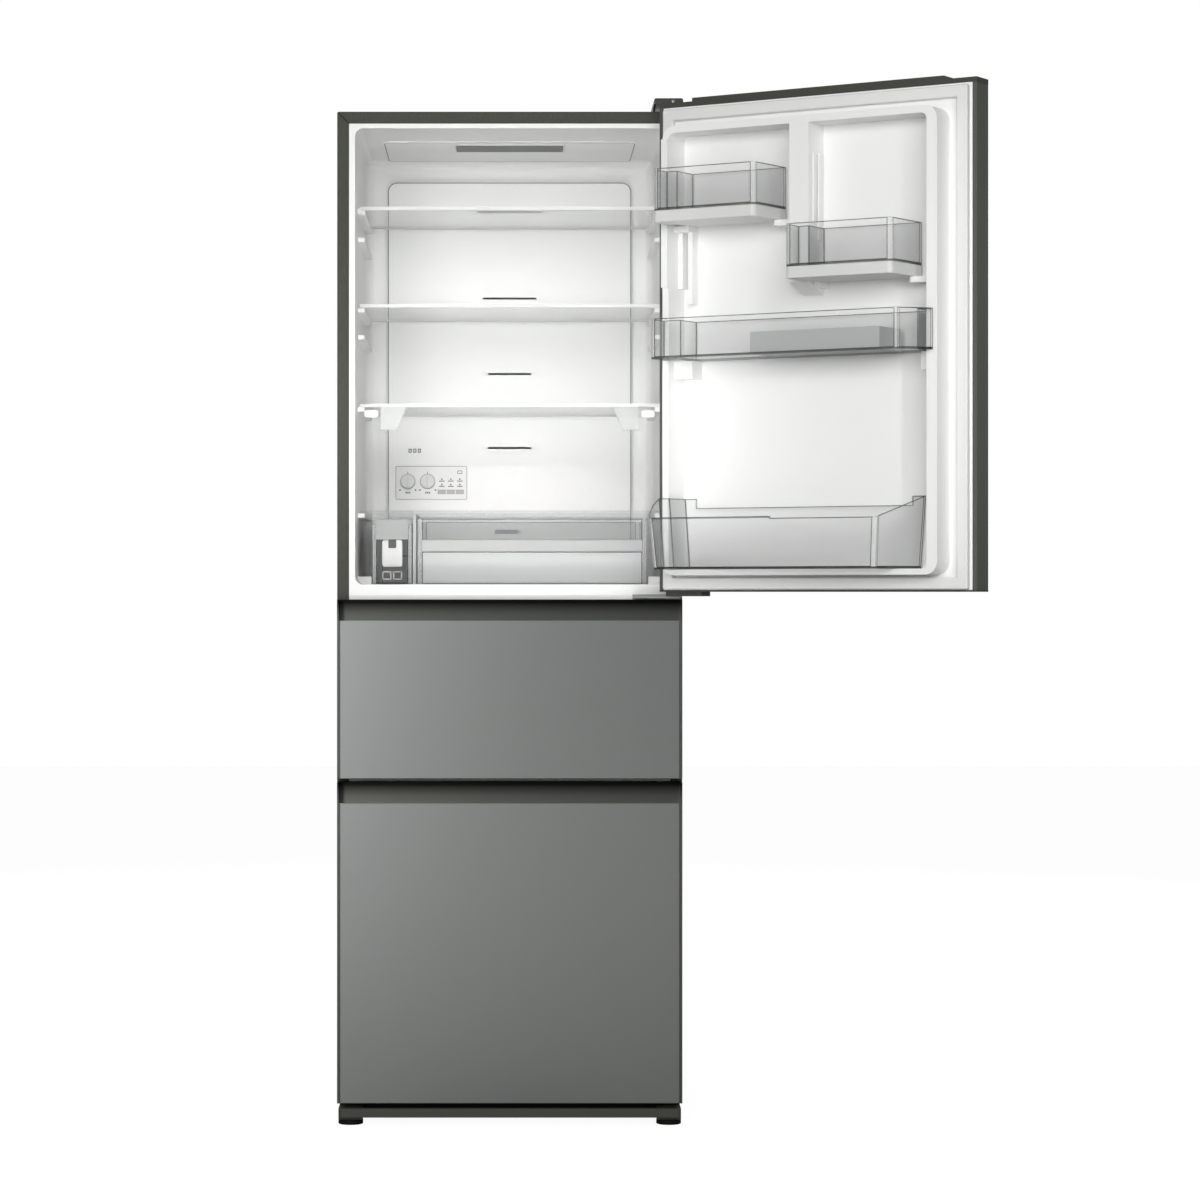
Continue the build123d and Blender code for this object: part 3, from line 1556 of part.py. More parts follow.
def bin_corners(start, end, notch, slant, inset, wall=0.0, end_notch=0.0):
    """The corners of a bin from above, drawn in by its draft and its wall."""
    left = start + inset + wall
    right = end - inset - wall
    front = bin_front - inset - wall
    step = ((right, bin_step + wall), (right - end_notch, bin_step + wall)) if end_notch else ()
    return (
        (left, front),
        (right - slant, front),
        *step,
        (right - end_notch, bin_rear + wall),
        (left + notch, bin_rear + wall),
        (left + notch, bin_step + wall),
        (left, bin_step + wall),
    )


def bin_body(start, end, notch, slant, bottom, top, draft, end_notch=0.0):
    """A door bin: an open tub that is a little narrower at its floor."""
    inner_draft = draft * (top - bottom - bin_wall) / (top - bottom)
    with BuildPart() as tub:
        loft(
            (
                bin_section(bottom, bin_corners(start, end, notch, slant, draft, 0.0, end_notch), bin_corner),
                bin_section(top, bin_corners(start, end, notch, slant, 0.0, 0.0, end_notch), bin_corner),
            )
        )
        loft(
            (
                bin_section(
                    bottom + bin_wall,
                    bin_corners(start, end, notch, slant, inner_draft, bin_wall, end_notch),
                    bin_corner - bin_wall,
                ),
                bin_section(
                    top,
                    bin_corners(start, end, notch, slant, 0.0, bin_wall, end_notch),
                    bin_corner - bin_wall,
                ),
            ),
            mode=Mode.SUBTRACT,
        )
    return tub.part


# Small bin bases: the white trays under the two small bins
with BuildPart() as small_bin_bases:
    for start, bottom, left_wall, right_wall in small_bins_placed:
        corners = bin_corners(start, start + small_bin_width, bin_notch, small_bin_slant, 0.0)
        extrude(bin_section(bottom, corners, bin_corner), amount=-small_bin_base)
small_bin_bases.part.label = "small_bin_bases"
export_step(small_bin_bases.part, "parts/small_bin_bases.step")

small_bin_tubs = [
    bin_body(
        start,
        start + small_bin_width,
        bin_notch,
        small_bin_slant,
        bottom + small_bin_base,
        bottom + small_bin_height,
        0.0,
    )
    for start, bottom, left_wall, right_wall in small_bins_placed
]

# Small bins: the two clear tubs
with BuildPart() as small_bins:
    for tub in small_bin_tubs:
        add(tub)
small_bins.part.label = "small_bins"
export_step(small_bins.part, "parts/small_bins.step")

wide_tub = bin_body(
    wide_bin_start,
    wide_bin_end,
    wide_bin_notch,
    wide_bin_slant,
    wide_bin_bottom,
    wide_bin_bottom + wide_bin_height,
    0.0,
    wide_bin_end_notch,
)

# Wide bin: the clear tub across the whole door
with BuildPart() as wide_bin:
    add(wide_tub)
wide_bin.part.label = "wide_bin"
export_step(wide_bin.part, "parts/wide_bin.step")

bottle_tub = bin_body(
    bottle_bin_start,
    bottle_bin_end,
    bin_notch,
    bottle_chamfer,
    bottle_bin_bottom,
    bottle_bin_bottom + bottle_end_height,
    bottle_draft,
)
bottle_middle = (bottle_bin_start + bottle_bin_end) / 2
bottle_top = bottle_bin_bottom + bottle_end_height
bottle_front_top = bottle_bin_bottom + bottle_front_height

# Bottle bin: the deep tub, low at its front and high at both ends
with BuildPart() as bottle_bin:
    add(bottle_tub)
    with BuildSketch(door_side(bottle_bin_start - overrun)) as near_profile:
        with BuildLine():
            Polyline(
                (bin_step + bin_wall, bottle_top + overrun),
                (bin_step + bin_wall, bottle_top),
                ((bin_front + bin_step) / 2, bottle_top - bottle_shoulder_drop),
                (bin_front, bottle_front_top),
                (bin_front + overrun, bottle_front_top),
                (bin_front + overrun, bottle_top + overrun),
                close=True,
            )
        make_face()
    extrude(near_profile.sketch, amount=bottle_bin_start - overrun - bottle_middle, mode=Mode.SUBTRACT)
    with BuildSketch(door_side(bottle_middle)) as far_profile:
        with BuildLine():
            Polyline(
                (0, bottle_top + overrun),
                (0, bottle_top),
                (bin_front, bottle_front_top),
                (bin_front + overrun, bottle_front_top),
                (bin_front + overrun, bottle_top + overrun),
                close=True,
            )
        make_face()
    extrude(far_profile.sketch, amount=bottle_middle - bottle_bin_end - overrun, mode=Mode.SUBTRACT)
    door_block(
        (
            bottle_bin_start + bin_notch + bottle_end_post,
            bin_rear - overrun,
            bottle_bin_bottom + bottle_rear_height,
        ),
        (bottle_bin_end - bottle_end_post, bin_step, bottle_top + overrun),
        Mode.SUBTRACT,
    )
bottle_bin.part.label = "bottle_bin"
export_step(bottle_bin.part, "parts/bottle_bin.step")

# Inner tray: a low clear tray on the floor of the wide bin
with BuildPart() as inner_tray:
    tray_low = wide_bin_bottom + bin_wall
    door_block(
        (inner_tray_start, inner_tray_near, tray_low),
        (inner_tray_end, inner_tray_far, tray_low + inner_tray_height),
    )
    door_block(
        (inner_tray_start + bin_wall, inner_tray_near + bin_wall, tray_low + bin_wall),
        (inner_tray_end - bin_wall, inner_tray_far - bin_wall, tray_low + inner_tray_height + overrun),
        Mode.SUBTRACT,
    )
inner_tray.part.label = "inner_tray"
export_step(inner_tray.part, "parts/inner_tray.step")
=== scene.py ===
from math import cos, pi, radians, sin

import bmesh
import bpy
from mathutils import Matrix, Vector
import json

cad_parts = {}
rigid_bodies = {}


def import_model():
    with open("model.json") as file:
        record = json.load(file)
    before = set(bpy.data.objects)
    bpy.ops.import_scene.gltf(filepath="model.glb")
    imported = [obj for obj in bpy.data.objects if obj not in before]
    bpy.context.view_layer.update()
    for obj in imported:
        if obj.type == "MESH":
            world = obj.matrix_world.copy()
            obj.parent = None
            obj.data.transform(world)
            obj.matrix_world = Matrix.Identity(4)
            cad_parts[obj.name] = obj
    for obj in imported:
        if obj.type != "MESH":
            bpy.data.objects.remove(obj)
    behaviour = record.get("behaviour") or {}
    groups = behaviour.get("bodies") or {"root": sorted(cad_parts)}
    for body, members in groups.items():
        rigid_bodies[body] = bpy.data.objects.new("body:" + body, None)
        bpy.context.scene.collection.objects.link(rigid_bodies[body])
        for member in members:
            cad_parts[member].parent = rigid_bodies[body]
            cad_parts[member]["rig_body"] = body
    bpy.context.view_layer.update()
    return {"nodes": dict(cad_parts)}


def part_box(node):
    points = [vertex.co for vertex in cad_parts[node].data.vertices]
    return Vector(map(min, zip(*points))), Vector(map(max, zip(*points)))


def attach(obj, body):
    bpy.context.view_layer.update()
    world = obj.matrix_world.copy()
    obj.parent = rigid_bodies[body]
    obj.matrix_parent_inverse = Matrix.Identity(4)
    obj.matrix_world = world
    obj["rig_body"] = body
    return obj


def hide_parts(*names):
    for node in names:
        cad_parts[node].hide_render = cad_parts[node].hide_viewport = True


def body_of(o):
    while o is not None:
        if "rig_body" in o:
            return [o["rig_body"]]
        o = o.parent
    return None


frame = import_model()

# %% [markdown]
# # Three-door refrigerator
# The refrigerator is shown as in a catalogue picture: the fridge door stands open at the right, and both
# drawers are closed. The frame brings the CAD pieces in metres, with Z up and the front towards -Y.

nodes = frame["nodes"]
print("CAD pieces:", len(nodes))

# %% [markdown]
# ## Colours
# Colours are written as a designer writes them, in sRGB hex. Shaders work in linear light, so each
# channel is turned linear before it is used.


# %% Turn a hex colour into linear light
def linear(hex_colour):
    """A linear RGBA colour from an sRGB hex value."""
    channels = [int(hex_colour[i : i + 2], 16) / 255 for i in (1, 3, 5)]
    return tuple(c / 12.92 if c <= 0.04045 else ((c + 0.055) / 1.055) ** 2.4 for c in channels) + (1.0,)


print("liner white in linear light:", [round(c, 3) for c in linear("#F2F2F0")])

# %% [markdown]
# ## Building finishes
# Every finish is a Principled shader with a little procedural variation. One helper adds a node, sets its
# options and links or sets its inputs, so that each finish reads as a short list of steps. Most finishes are
# only a colour, a grain and a few values of the surface, so the last helper makes such a one in a single call.


# %% Helpers for the finishes
def add_node(tree, kind, inputs=None, **options):
    """Add a node; each input takes a value or another node's output."""
    node = tree.nodes.new(kind)
    for name, value in options.items():
        setattr(node, name, value)
    for name, value in (inputs or {}).items():
        if isinstance(value, bpy.types.NodeSocket):
            tree.links.new(value, node.inputs[name])
        else:
            node.inputs[name].default_value = value
    return node


def new_finish(name, colour, **surface):
    """A material whose Principled shader has these values."""
    material = bpy.data.materials.new(name)
    material.use_nodes = True
    shader = material.node_tree.nodes["Principled BSDF"]
    shader.inputs["Base Color"].default_value = linear(colour)
    for key, value in surface.items():
        shader.inputs[key.replace("_", " ")].default_value = value
    return material, material.node_tree, shader


def per_mm(size):
    """The texture scale at which a pattern repeats about every so many millimetres."""
    return 1000 / size


def add_grain(tree, shader, size, depth, stretch=(1, 1, 1)):
    """Roughen the surface with noise of a size and a depth in millimetres."""
    place = add_node(tree, "ShaderNodeTexCoord")
    scaled = add_node(tree, "ShaderNodeMapping", {"Vector": place.outputs["Object"], "Scale": stretch})
    noise = add_node(tree, "ShaderNodeTexNoise", {"Vector": scaled.outputs[0], "Scale": per_mm(size)})
    bump = add_node(tree, "ShaderNodeBump", {"Height": noise.outputs[0], "Distance": depth / 1000})
    tree.links.new(bump.outputs[0], shader.inputs["Normal"])
    return noise


def vary_colour(tree, shader, noise, dark, light, low=0.35, high=0.65):
    """Let the colour wander between two shades with the noise."""
    ramp = add_node(tree, "ShaderNodeValToRGB", {"Fac": noise.outputs[0]})
    for stop, place, colour in zip(ramp.color_ramp.elements, (low, high), (dark, light)):
        stop.position = place
        stop.color = linear(colour)
    tree.links.new(ramp.outputs[0], shader.inputs["Base Color"])
    return ramp


def grained_finish(name, colour, size, depth, stretch=(1, 1, 1), shades=(), **surface):
    """A material roughened by noise, whose colour may wander between two shades."""
    material, tree, shader = new_finish(name, colour, **surface)
    noise = add_grain(tree, shader, size, depth, stretch)
    if shades:
        vary_colour(tree, shader, noise, *shades)
    return material


print("a 2 mm pattern needs a texture scale of", per_mm(2))

# %% [markdown]
# ### Painted steel
# The cabinet is folded from pre-painted steel sheet, a dark warm grey with a fine upright brush mark. At both
# top corners of the front band the sheet is mitred, so a thin dark line runs there at 45 degrees.

# %% Painted steel of the cabinet
shell_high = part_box("outer_shell")[1]
seam_half = 0.001
band_face = 0.0004
seam_ink = linear("#1E1F1B")
painted_steel, tree, shader = new_finish("painted_steel", "#4C4D47", Roughness=0.6, Specular_IOR_Level=0.25)
brush = add_grain(tree, shader, 0.9, 0.01, stretch=(1, 1, 0.06))
shade = vary_colour(tree, shader, brush, "#464741", "#52534D", 0.3, 0.7)
place = add_node(tree, "ShaderNodeTexCoord")
axes = add_node(tree, "ShaderNodeSeparateXYZ", {0: place.outputs["Object"]})
sideways = add_node(tree, "ShaderNodeMath", {0: axes.outputs["X"]}, operation="ABSOLUTE")
to_side = add_node(tree, "ShaderNodeMath", {0: shell_high.x, 1: sideways.outputs[0]}, operation="SUBTRACT")
to_top = add_node(tree, "ShaderNodeMath", {0: shell_high.z, 1: axes.outputs["Z"]}, operation="SUBTRACT")
apart = add_node(tree, "ShaderNodeMath", {0: to_side.outputs[0], 1: to_top.outputs[0]}, operation="SUBTRACT")
mitre = add_node(tree, "ShaderNodeMath", {0: apart.outputs[0], 1: 0.0, 2: seam_half}, operation="COMPARE")
ahead = add_node(tree, "ShaderNodeMath", {0: axes.outputs["Y"], 1: band_face}, operation="LESS_THAN")
seam = add_node(tree, "ShaderNodeMath", {0: mitre.outputs[0], 1: ahead.outputs[0]}, operation="MULTIPLY")
mixed = {0: seam.outputs[0], 6: shade.outputs[0], 7: seam_ink}
line = add_node(tree, "ShaderNodeMix", mixed, data_type="RGBA")
tree.links.new(line.outputs[2], shader.inputs["Base Color"])
print("mitre lines start at the corner", round(shell_high.x, 3), round(shell_high.z, 3))

# %% [markdown]
# ### Metals
# The drawer fronts and the door face are sheet steel with a metallic coat: a broad soft sheen and hardly any
# grain. The back is galvanised, whose zinc crystals show as pale patches. Rails, hinges and screws are zinc
# plated, and the cooling fins are plain aluminium.

# %% Front sheet, galvanised steel, zinc plating and aluminium
front_sheet = grained_finish(
    "front_sheet",
    "#BFC2C0",
    size=0.5,
    depth=0.004,
    shades=("#BABDBC", "#C4C7C6", 0.3, 0.7),
    Metallic=1.0,
    Roughness=0.3,
)

crystal_size = 9
galvanised, tree, shader = new_finish("galvanised_steel", "#A3A5A2", Metallic=0.6, Roughness=0.5)
place = add_node(tree, "ShaderNodeTexCoord")
sown = {"Vector": place.outputs["Object"], "Scale": per_mm(crystal_size)}
crystals = add_node(tree, "ShaderNodeTexVoronoi", sown)
grey = add_node(tree, "ShaderNodeRGBToBW", {0: crystals.outputs["Color"]})
vary_colour(tree, shader, grey, "#989A97", "#B0B2AF", 0.2, 0.8)

zinc_plate = grained_finish(
    "zinc_plated_steel", "#C6C8C6", size=3, depth=0.01, Metallic=0.85, Roughness=0.42
)
aluminium = grained_finish(
    "mill_aluminium", "#C9CBCC", size=1.5, depth=0.01, stretch=(1, 1, 0.2), Metallic=1.0, Roughness=0.4
)
print("metals:", front_sheet.name, galvanised.name, zinc_plate.name, aluminium.name)

# %% [markdown]
# ### Plastics and rubber
# The liners are vacuum-formed polystyrene: white, glossy and a little uneven, like orange peel. Moulded trims
# are dark and satin. The door's gasket is white vinyl, the drawers' gaskets and the gland are black rubber,
# and the feet are black plastic. The foam, the paint of the compressor and the inks follow here too.

# %% Opaque plastics, foam and rubber
liner_plastic = grained_finish("liner_polystyrene", "#FAFAF9", size=14, depth=0.05, Roughness=0.35)
white_plastic = grained_finish("white_moulding", "#E4E4E2", size=5, depth=0.01, Roughness=0.3)
control_plastic = grained_finish("control_plate_plastic", "#F1F1F0", size=1, depth=0.005, Roughness=0.4)
edge_trim = grained_finish(
    "edge_trim_plastic", "#595B55", size=0.8, depth=0.01, Roughness=0.45, Specular_IOR_Level=0.4
)
cap_plastic = grained_finish(
    "cap_plastic",
    "#494A44",
    size=0.7,
    depth=0.02,
    shades=("#454640", "#4D4E48"),
    Roughness=0.5,
    Specular_IOR_Level=0.35,
)
box_plastic = grained_finish(
    "frosted_box_plastic",
    "#E4E7E8",
    size=2,
    depth=0.01,
    Roughness=0.35,
    Subsurface_Weight=0.15,
    Subsurface_Scale=0.003,
)
fan_plastic = grained_finish("fan_plastic", "#C9CAC8", size=1, depth=0.01, Roughness=0.5)
gasket_vinyl = grained_finish("gasket_vinyl", "#EDEDEB", size=1.5, depth=0.02, Roughness=0.6)
black_rubber = grained_finish("black_rubber", "#161614", size=1, depth=0.03, Roughness=0.65)
foot_plastic = grained_finish(
    "foot_plastic", "#0C0C0A", size=1, depth=0.02, Roughness=0.65, Specular_IOR_Level=0.3
)
compressor_paint = grained_finish(
    "compressor_paint", "#121213", size=4, depth=0.03, Roughness=0.35, Coat_Weight=0.4
)
foam = grained_finish(
    "insulation_foam", "#E3D2A2", size=1.2, depth=0.2, shades=("#D6C38F", "#EBDCB2"), Roughness=0.9
)
lamp_lens = grained_finish(
    "smoked_lens", "#3A3B3B", size=2, depth=0.01, Roughness=0.35, Specular_IOR_Level=0.4
)
milky_plastic = grained_finish(
    "milky_moulding",
    "#BDBEBD",
    size=3,
    depth=0.01,
    Roughness=0.35,
    Subsurface_Weight=0.1,
    Subsurface_Scale=0.002,
)
tank_plastic = grained_finish("tank_cap_moulding", "#A6A7A6", size=3, depth=0.01, Roughness=0.35)
tinted_tray = grained_finish("tinted_tray_plastic", "#BEC0C0", size=4, depth=0.01, Roughness=0.2)
print_ink = grained_finish("print_ink", "#5B5C5A", size=0.5, depth=0.005, Roughness=0.6)
rim_ink = grained_finish("rim_ink", "#B4B5B4", size=0.5, depth=0.005, Roughness=0.5)
seam_shade = grained_finish("seam_shade", "#8C8D8B", size=0.5, depth=0.005, Roughness=0.7)
print("finishes so far:", len(bpy.data.materials))

# %% [markdown]
# ### The drawers' bodies
# Each drawer front is a moulding with a metallic lacquer behind its steel sheet. Towards the top of the grip
# recess its colour fades to nearly black: painted shade, for the deep shade in the recess. One function makes
# it for each drawer, because the painted shade follows the height of that drawer's own grip.


# %% Lacquer with painted shade towards the top of a grip
def lacquer_with_painted_shade(name, front, panel):
    """A dark metallic lacquer, with painted shade that fades it to black between the sheet's top edge and the
    front's top.
    """
    material, tree, shader = new_finish(name, "#83847F", Metallic=0.95, Roughness=0.3)
    grip_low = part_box(panel)[1].z
    grip_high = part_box(front)[1].z
    place = add_node(tree, "ShaderNodeTexCoord")
    axes = add_node(tree, "ShaderNodeSeparateXYZ", {0: place.outputs["Object"]})
    limits = {"Value": axes.outputs["Z"], "From Min": grip_low, "From Max": grip_high}
    rise = add_node(tree, "ShaderNodeMapRange", limits)
    painted_shade_ramp = add_node(tree, "ShaderNodeValToRGB", {"Fac": rise.outputs[0]})
    # The ramp is painted shade: from the lacquer's own grey at the sheet up to nearly black at the top.
    stops = painted_shade_ramp.color_ramp.elements
    stops[0].position = 0.01
    stops[0].color = linear("#82837E")
    stops[1].position = 0.85
    stops[1].color = linear("#1B1C18")
    for share, colour in ((0.03, "#787974"), (0.3, "#6C6D68")):
        stops.new(share).color = linear(colour)
    tree.links.new(painted_shade_ramp.outputs[0], shader.inputs["Base Color"])
    return material


vegetable_lacquer_painted_shade = lacquer_with_painted_shade("vegetable_front_lacquer_painted_shade", "vegetable_front", "vegetable_panel")
freezer_lacquer_painted_shade = lacquer_with_painted_shade("freezer_front_lacquer_painted_shade", "freezer_front", "freezer_panel")
print("lacquers:", vegetable_lacquer_painted_shade.name, freezer_lacquer_painted_shade.name)

# %% [markdown]
# ### Clear plastic and glass
# Bins, case and tank are clear polystyrene, and the shelves are float glass. A clear wall is mostly
# transparent; it shows by a grey tint and by gloss that grows towards grazing angles, which Fresnel gives.
# Cut edges pass light along the sheet and look much darker; that shade is painted in a finish of their own.


# %% Clear finishes
plastic_ior = 1.55
fresnel_ior = 1.5


def new_clear(name, colour, cover, gloss):
    """A clear finish: its cover at a right angle, and how much grazing light adds."""
    material, tree, shader = new_finish(name, colour, Roughness=0.06, IOR=plastic_ior)
    fresnel = add_node(tree, "ShaderNodeFresnel", {"IOR": fresnel_ior})
    terms = {0: fresnel.outputs[0], 1: gloss, 2: cover}
    alpha = add_node(tree, "ShaderNodeMath", terms, operation="MULTIPLY_ADD", use_clamp=True)
    tree.links.new(alpha.outputs[0], shader.inputs["Alpha"])
    return material


clear_plastic = new_clear("clear_polystyrene", "#D5D8D8", 0.05, 0.25)
frosted_plastic = new_clear("frosted_polystyrene", "#F4F5F5", 0.42, 0.3)
case_plastic = new_clear("case_polystyrene", "#D6D8D8", 0.12, 0.3)
milky_bracket = new_clear("milky_polystyrene", "#E2E3E3", 0.4, 0.2)
# Painted shade for rims and borders, and a painted highlight for round upright corners
painted_edge_shade = new_clear("clear_polystyrene_painted_edge_shade", "#3A3C3C", 0.55, 0.2)
painted_corner_highlight = new_clear("clear_polystyrene_painted_corner_highlight", "#F6F7F7", 0.22, 0.6)
shelf_glass = new_clear("shelf_glass", "#E4E7E6", 0.06, 0.35)
print("clear finishes:", clear_plastic.name, painted_edge_shade.name, painted_corner_highlight.name, shelf_glass.name)

# %% [markdown]
# ## Rounding the moulded pieces
# CAD pieces arrive as loose triangles with knife-sharp edges. Real mouldings and folded sheets have small
# radii, and those catch the light. So each visible piece gets a merged copy: flat areas are joined to single
# faces, shading is smooth across gentle bends only, and a bevel rounds the remaining edges.


# %% Make a rounded copy that stands in for a CAD piece
merge_gap = 0.00002
rims_across = 5


def breadth_of(face):
    """The breadth of a strip with the face's area and outline."""
    return 2 * face.calc_area() / face.calc_perimeter()


def shade_smooth(shape, limit):
    """Shade smooth across the bends that are gentler than a limit in degrees."""
    for edge in shape.edges:
        edge.smooth = len(edge.link_faces) == 2 and edge.calc_face_angle(pi) < radians(limit)
    for face in shape.faces:
        face.smooth = True


def rounded_copy(node, finish, radius, segments=2, more=(), choose=None, border=0.0, cuts=(), flat=0.6):
    """Stand a merged copy in for the piece, its edges rounded by a radius in millimetres.

    More finishes can follow the first; choose(face) gives the number of the finish of a face. A border
    gives every broad face a rim of that many millimetres in the second finish. Faces are split at the
    heights in cuts, and joined where they bend by less than the flat angle in degrees.
    """
    mesh = nodes[node].data.copy()
    mesh.name = node + "_rounded"
    mesh.materials.clear()
    for each in (finish, *more):
        mesh.materials.append(each)
    shape = bmesh.new()
    shape.from_mesh(mesh)
    bmesh.ops.remove_doubles(shape, verts=shape.verts, dist=merge_gap)
    bmesh.ops.dissolve_limit(shape, angle_limit=radians(flat), verts=shape.verts, edges=shape.edges)
    for height in cuts:
        everything = shape.verts[:] + shape.edges[:] + shape.faces[:]
        bmesh.ops.bisect_plane(shape, geom=everything, plane_co=(0, 0, height), plane_no=(0, 0, 1))
    shade_smooth(shape, 36)
    for face in shape.faces:
        face.material_index = choose(face) if choose else 0
    if border:
        width = border / 1000
        broad = [face for face in shape.faces if breadth_of(face) > rims_across * width]
        rims = bmesh.ops.inset_individual(shape, faces=broad, thickness=width, use_even_offset=True)["faces"]
        for face in rims:
            face.material_index = 1
    shape.to_mesh(mesh)
    shape.free()
    piece = bpy.data.objects.new(node + "_rounded", mesh)
    bpy.context.scene.collection.objects.link(piece)
    if radius:
        bevel = piece.modifiers.new("soft_edges", "BEVEL")
        bevel.width = radius / 1000
        bevel.segments = segments
        bevel.limit_method = "ANGLE"
        bevel.angle_limit = radians(40)
        bevel.harden_normals = True
    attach(piece, body_of(nodes[node])[0])
    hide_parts(node)
    return piece


sheet_pieces = [
    rounded_copy("outer_shell", painted_steel, 0.3),
    rounded_copy("rear_panel", galvanised, 0.3),
    rounded_copy("machine_cover", galvanised, 0.3),
    rounded_copy("base_tray", zinc_plate, 0.3),
    rounded_copy("door_panel", front_sheet, 0.5),
    rounded_copy("vegetable_panel", front_sheet, 0.5),
    rounded_copy("freezer_panel", front_sheet, 0.5),
]
print("sheet metal pieces:", [piece.name for piece in sheet_pieces])

# %% [markdown]
# The mouldings come next. The door's liner is vacuum formed and can't hold a sharp edge, so it gets a large
# radius, and so do the soft gaskets. Injection-moulded trims hold their edges and get small ones.

# %% Mouldings
moulded_pieces = [
    rounded_copy("drawer_liners", liner_plastic, 0.6),
    rounded_copy("duct_panel", liner_plastic, 0.4),
    rounded_copy("lamp_panel", liner_plastic, 0.9),
    rounded_copy("freezer_cover", liner_plastic, 0.6),
    rounded_copy("door_liner", liner_plastic, 2.0, segments=3),
    rounded_copy("control_plate", control_plastic, 0.5),
    rounded_copy("vegetable_front", vegetable_lacquer_painted_shade, 0.8),
    rounded_copy("freezer_front", freezer_lacquer_painted_shade, 0.8),
    rounded_copy("door_side_trims", edge_trim, 0.6),
    rounded_copy("door_caps", cap_plastic, 1.0),
    rounded_copy("hinge_cover", cap_plastic, 0.5),
    rounded_copy("fridge_dial", white_plastic, 0.8),
    rounded_copy("freezer_dial", white_plastic, 0.8),
    rounded_copy("case_handle", milky_plastic, 1.0),
    rounded_copy("tank_cap", tank_plastic, 0.8),
    rounded_copy("small_bin_bases", white_plastic, 1.5),
    rounded_copy("ice_maker", white_plastic, 1.0),
    rounded_copy("lamp_lens", lamp_lens, 1.0),
    rounded_copy("vegetable_box", box_plastic, 0.8),
    rounded_copy("freezer_box", box_plastic, 0.8),
    rounded_copy("freezer_tray", box_plastic, 0.8),
    rounded_copy("ice_tray", box_plastic, 0.5),
    rounded_copy("evaporator_fan", fan_plastic, 0.4),
    rounded_copy("door_gasket", gasket_vinyl, 3.0, segments=3),
    rounded_copy("vegetable_gasket", black_rubber, 3.0, segments=3),
    rounded_copy("freezer_gasket", black_rubber, 3.0, segments=3),
    rounded_copy("power_inlet", black_rubber, 0.8),
    rounded_copy("left_foot", foot_plastic, 1.0),
    rounded_copy("right_foot", foot_plastic, 1.0),
    rounded_copy("rear_rollers", foot_plastic, 0.8),
]
print("mouldings:", len(moulded_pieces))

# %% [markdown]
# Three mouldings take a second finish on some of their faces. The wall behind the kick strip is black, painted
# shade for the deep shade there; the brackets that hang under the lowest shelf are milky where the trims are
# white; and the partition between the water tank and the chilled case is drawn in a darker grey than the liner
# it stands on.


# %% Mouldings with two finishes
strip_back = -0.03
shelf_trim_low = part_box("shelf_trims")[0].z
hanger_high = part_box("shelves")[0].z
below_glass = 0.001
tank_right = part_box("water_tank")[1].x
case_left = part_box("chilled_case")[0].x


def painted_shade_behind_strip(face):
    """1 for the faces of the plinth that lie deep behind its strip, which are painted black as shade."""
    return int(face.calc_center_median().y > strip_back)


def on_hanger(face):
    """1 for the faces of the brackets under the lowest shelf."""
    return int(face.calc_center_median().z < hanger_high - below_glass)


def on_partition(face):
    """1 for the faces of the partition, which stands between the tank and the case."""
    return int(all(tank_right < vertex.co.x < case_left for vertex in face.verts))


two_tone = [
    rounded_copy(
        "fridge_liner", liner_plastic, 0.6, more=(milky_plastic,), choose=on_partition
    ),
    # Black foot plastic behind the strip is painted shade
    rounded_copy("plinth", cap_plastic, 0.8, more=(foot_plastic,), choose=painted_shade_behind_strip),
    rounded_copy(
        "shelf_trims",
        white_plastic,
        1.2,
        more=(milky_bracket,),
        choose=on_hanger,
        cuts=[hanger_high],
    ),
]
print("pieces of two finishes:", len(two_tone))
print("brackets hang down by", round(hanger_high - shelf_trim_low, 3), "m")

# %% [markdown]
# Metal fittings: rails with rolled edges, hinge plates, screws, the fins and the compressor can.

# %% Metal fittings
metal_fittings = [
    rounded_copy(node, zinc_plate, 0.4)
    for node in (
        "fixed_rails",
        "vegetable_rails",
        "vegetable_slides",
        "freezer_rails",
        "freezer_slides",
        "top_hinge",
        "middle_hinge",
        "hinge_screws",
    )
]
metal_fittings.append(rounded_copy("evaporator", aluminium, 0.0))
metal_fittings.append(rounded_copy("compressor", compressor_paint, 0.8))
print("metal fittings:", len(metal_fittings))

# %% [markdown]
# Clear pieces keep the same walls. Narrow rims, and a thin border round every broad face, take the dark edge
# finish, a painted shade for where one looks along the plastic instead of through it. Round upright corners
# get a painted highlight, a bright streak. The bins have a thicker line of that painted shade round their
# floors, and the case is frosted below its handle.


# %% Bins, case, tank and shelves
lying_flat = 0.4
rim_breadth = 0.0032
corner_breadth = 0.009
base_line = 0.003
handle_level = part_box("case_handle")[0].z
tub_floors = {node: [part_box(node)[0].z] for node in ("small_bins", "wide_bin", "bottle_bin")}
heights = [vertex.co.z for vertex in nodes["small_bins"].data.vertices]
half_way = (min(heights) + max(heights)) / 2
tub_floors["small_bins"].append(min(height for height in heights if height > half_way))


def rim_or_corner(face):
    """1 for narrow rims seen on edge, which take painted shade; 2 for the narrow strips of round upright
    corners, which take a painted highlight.
    """
    breadth = breadth_of(face)
    if abs(face.normal.z) > lying_flat:
        return 1 if breadth < rim_breadth else 0
    upright = max(v.co.z for v in face.verts) - min(v.co.z for v in face.verts)
    return 2 if breadth < corner_breadth and upright > 3 * breadth else 0


def case_part(face):
    """The case's rims and corners as above, and 3 for its frosted part under the handle."""
    return rim_or_corner(face) or (3 if face.calc_center_median().z < handle_level else 0)


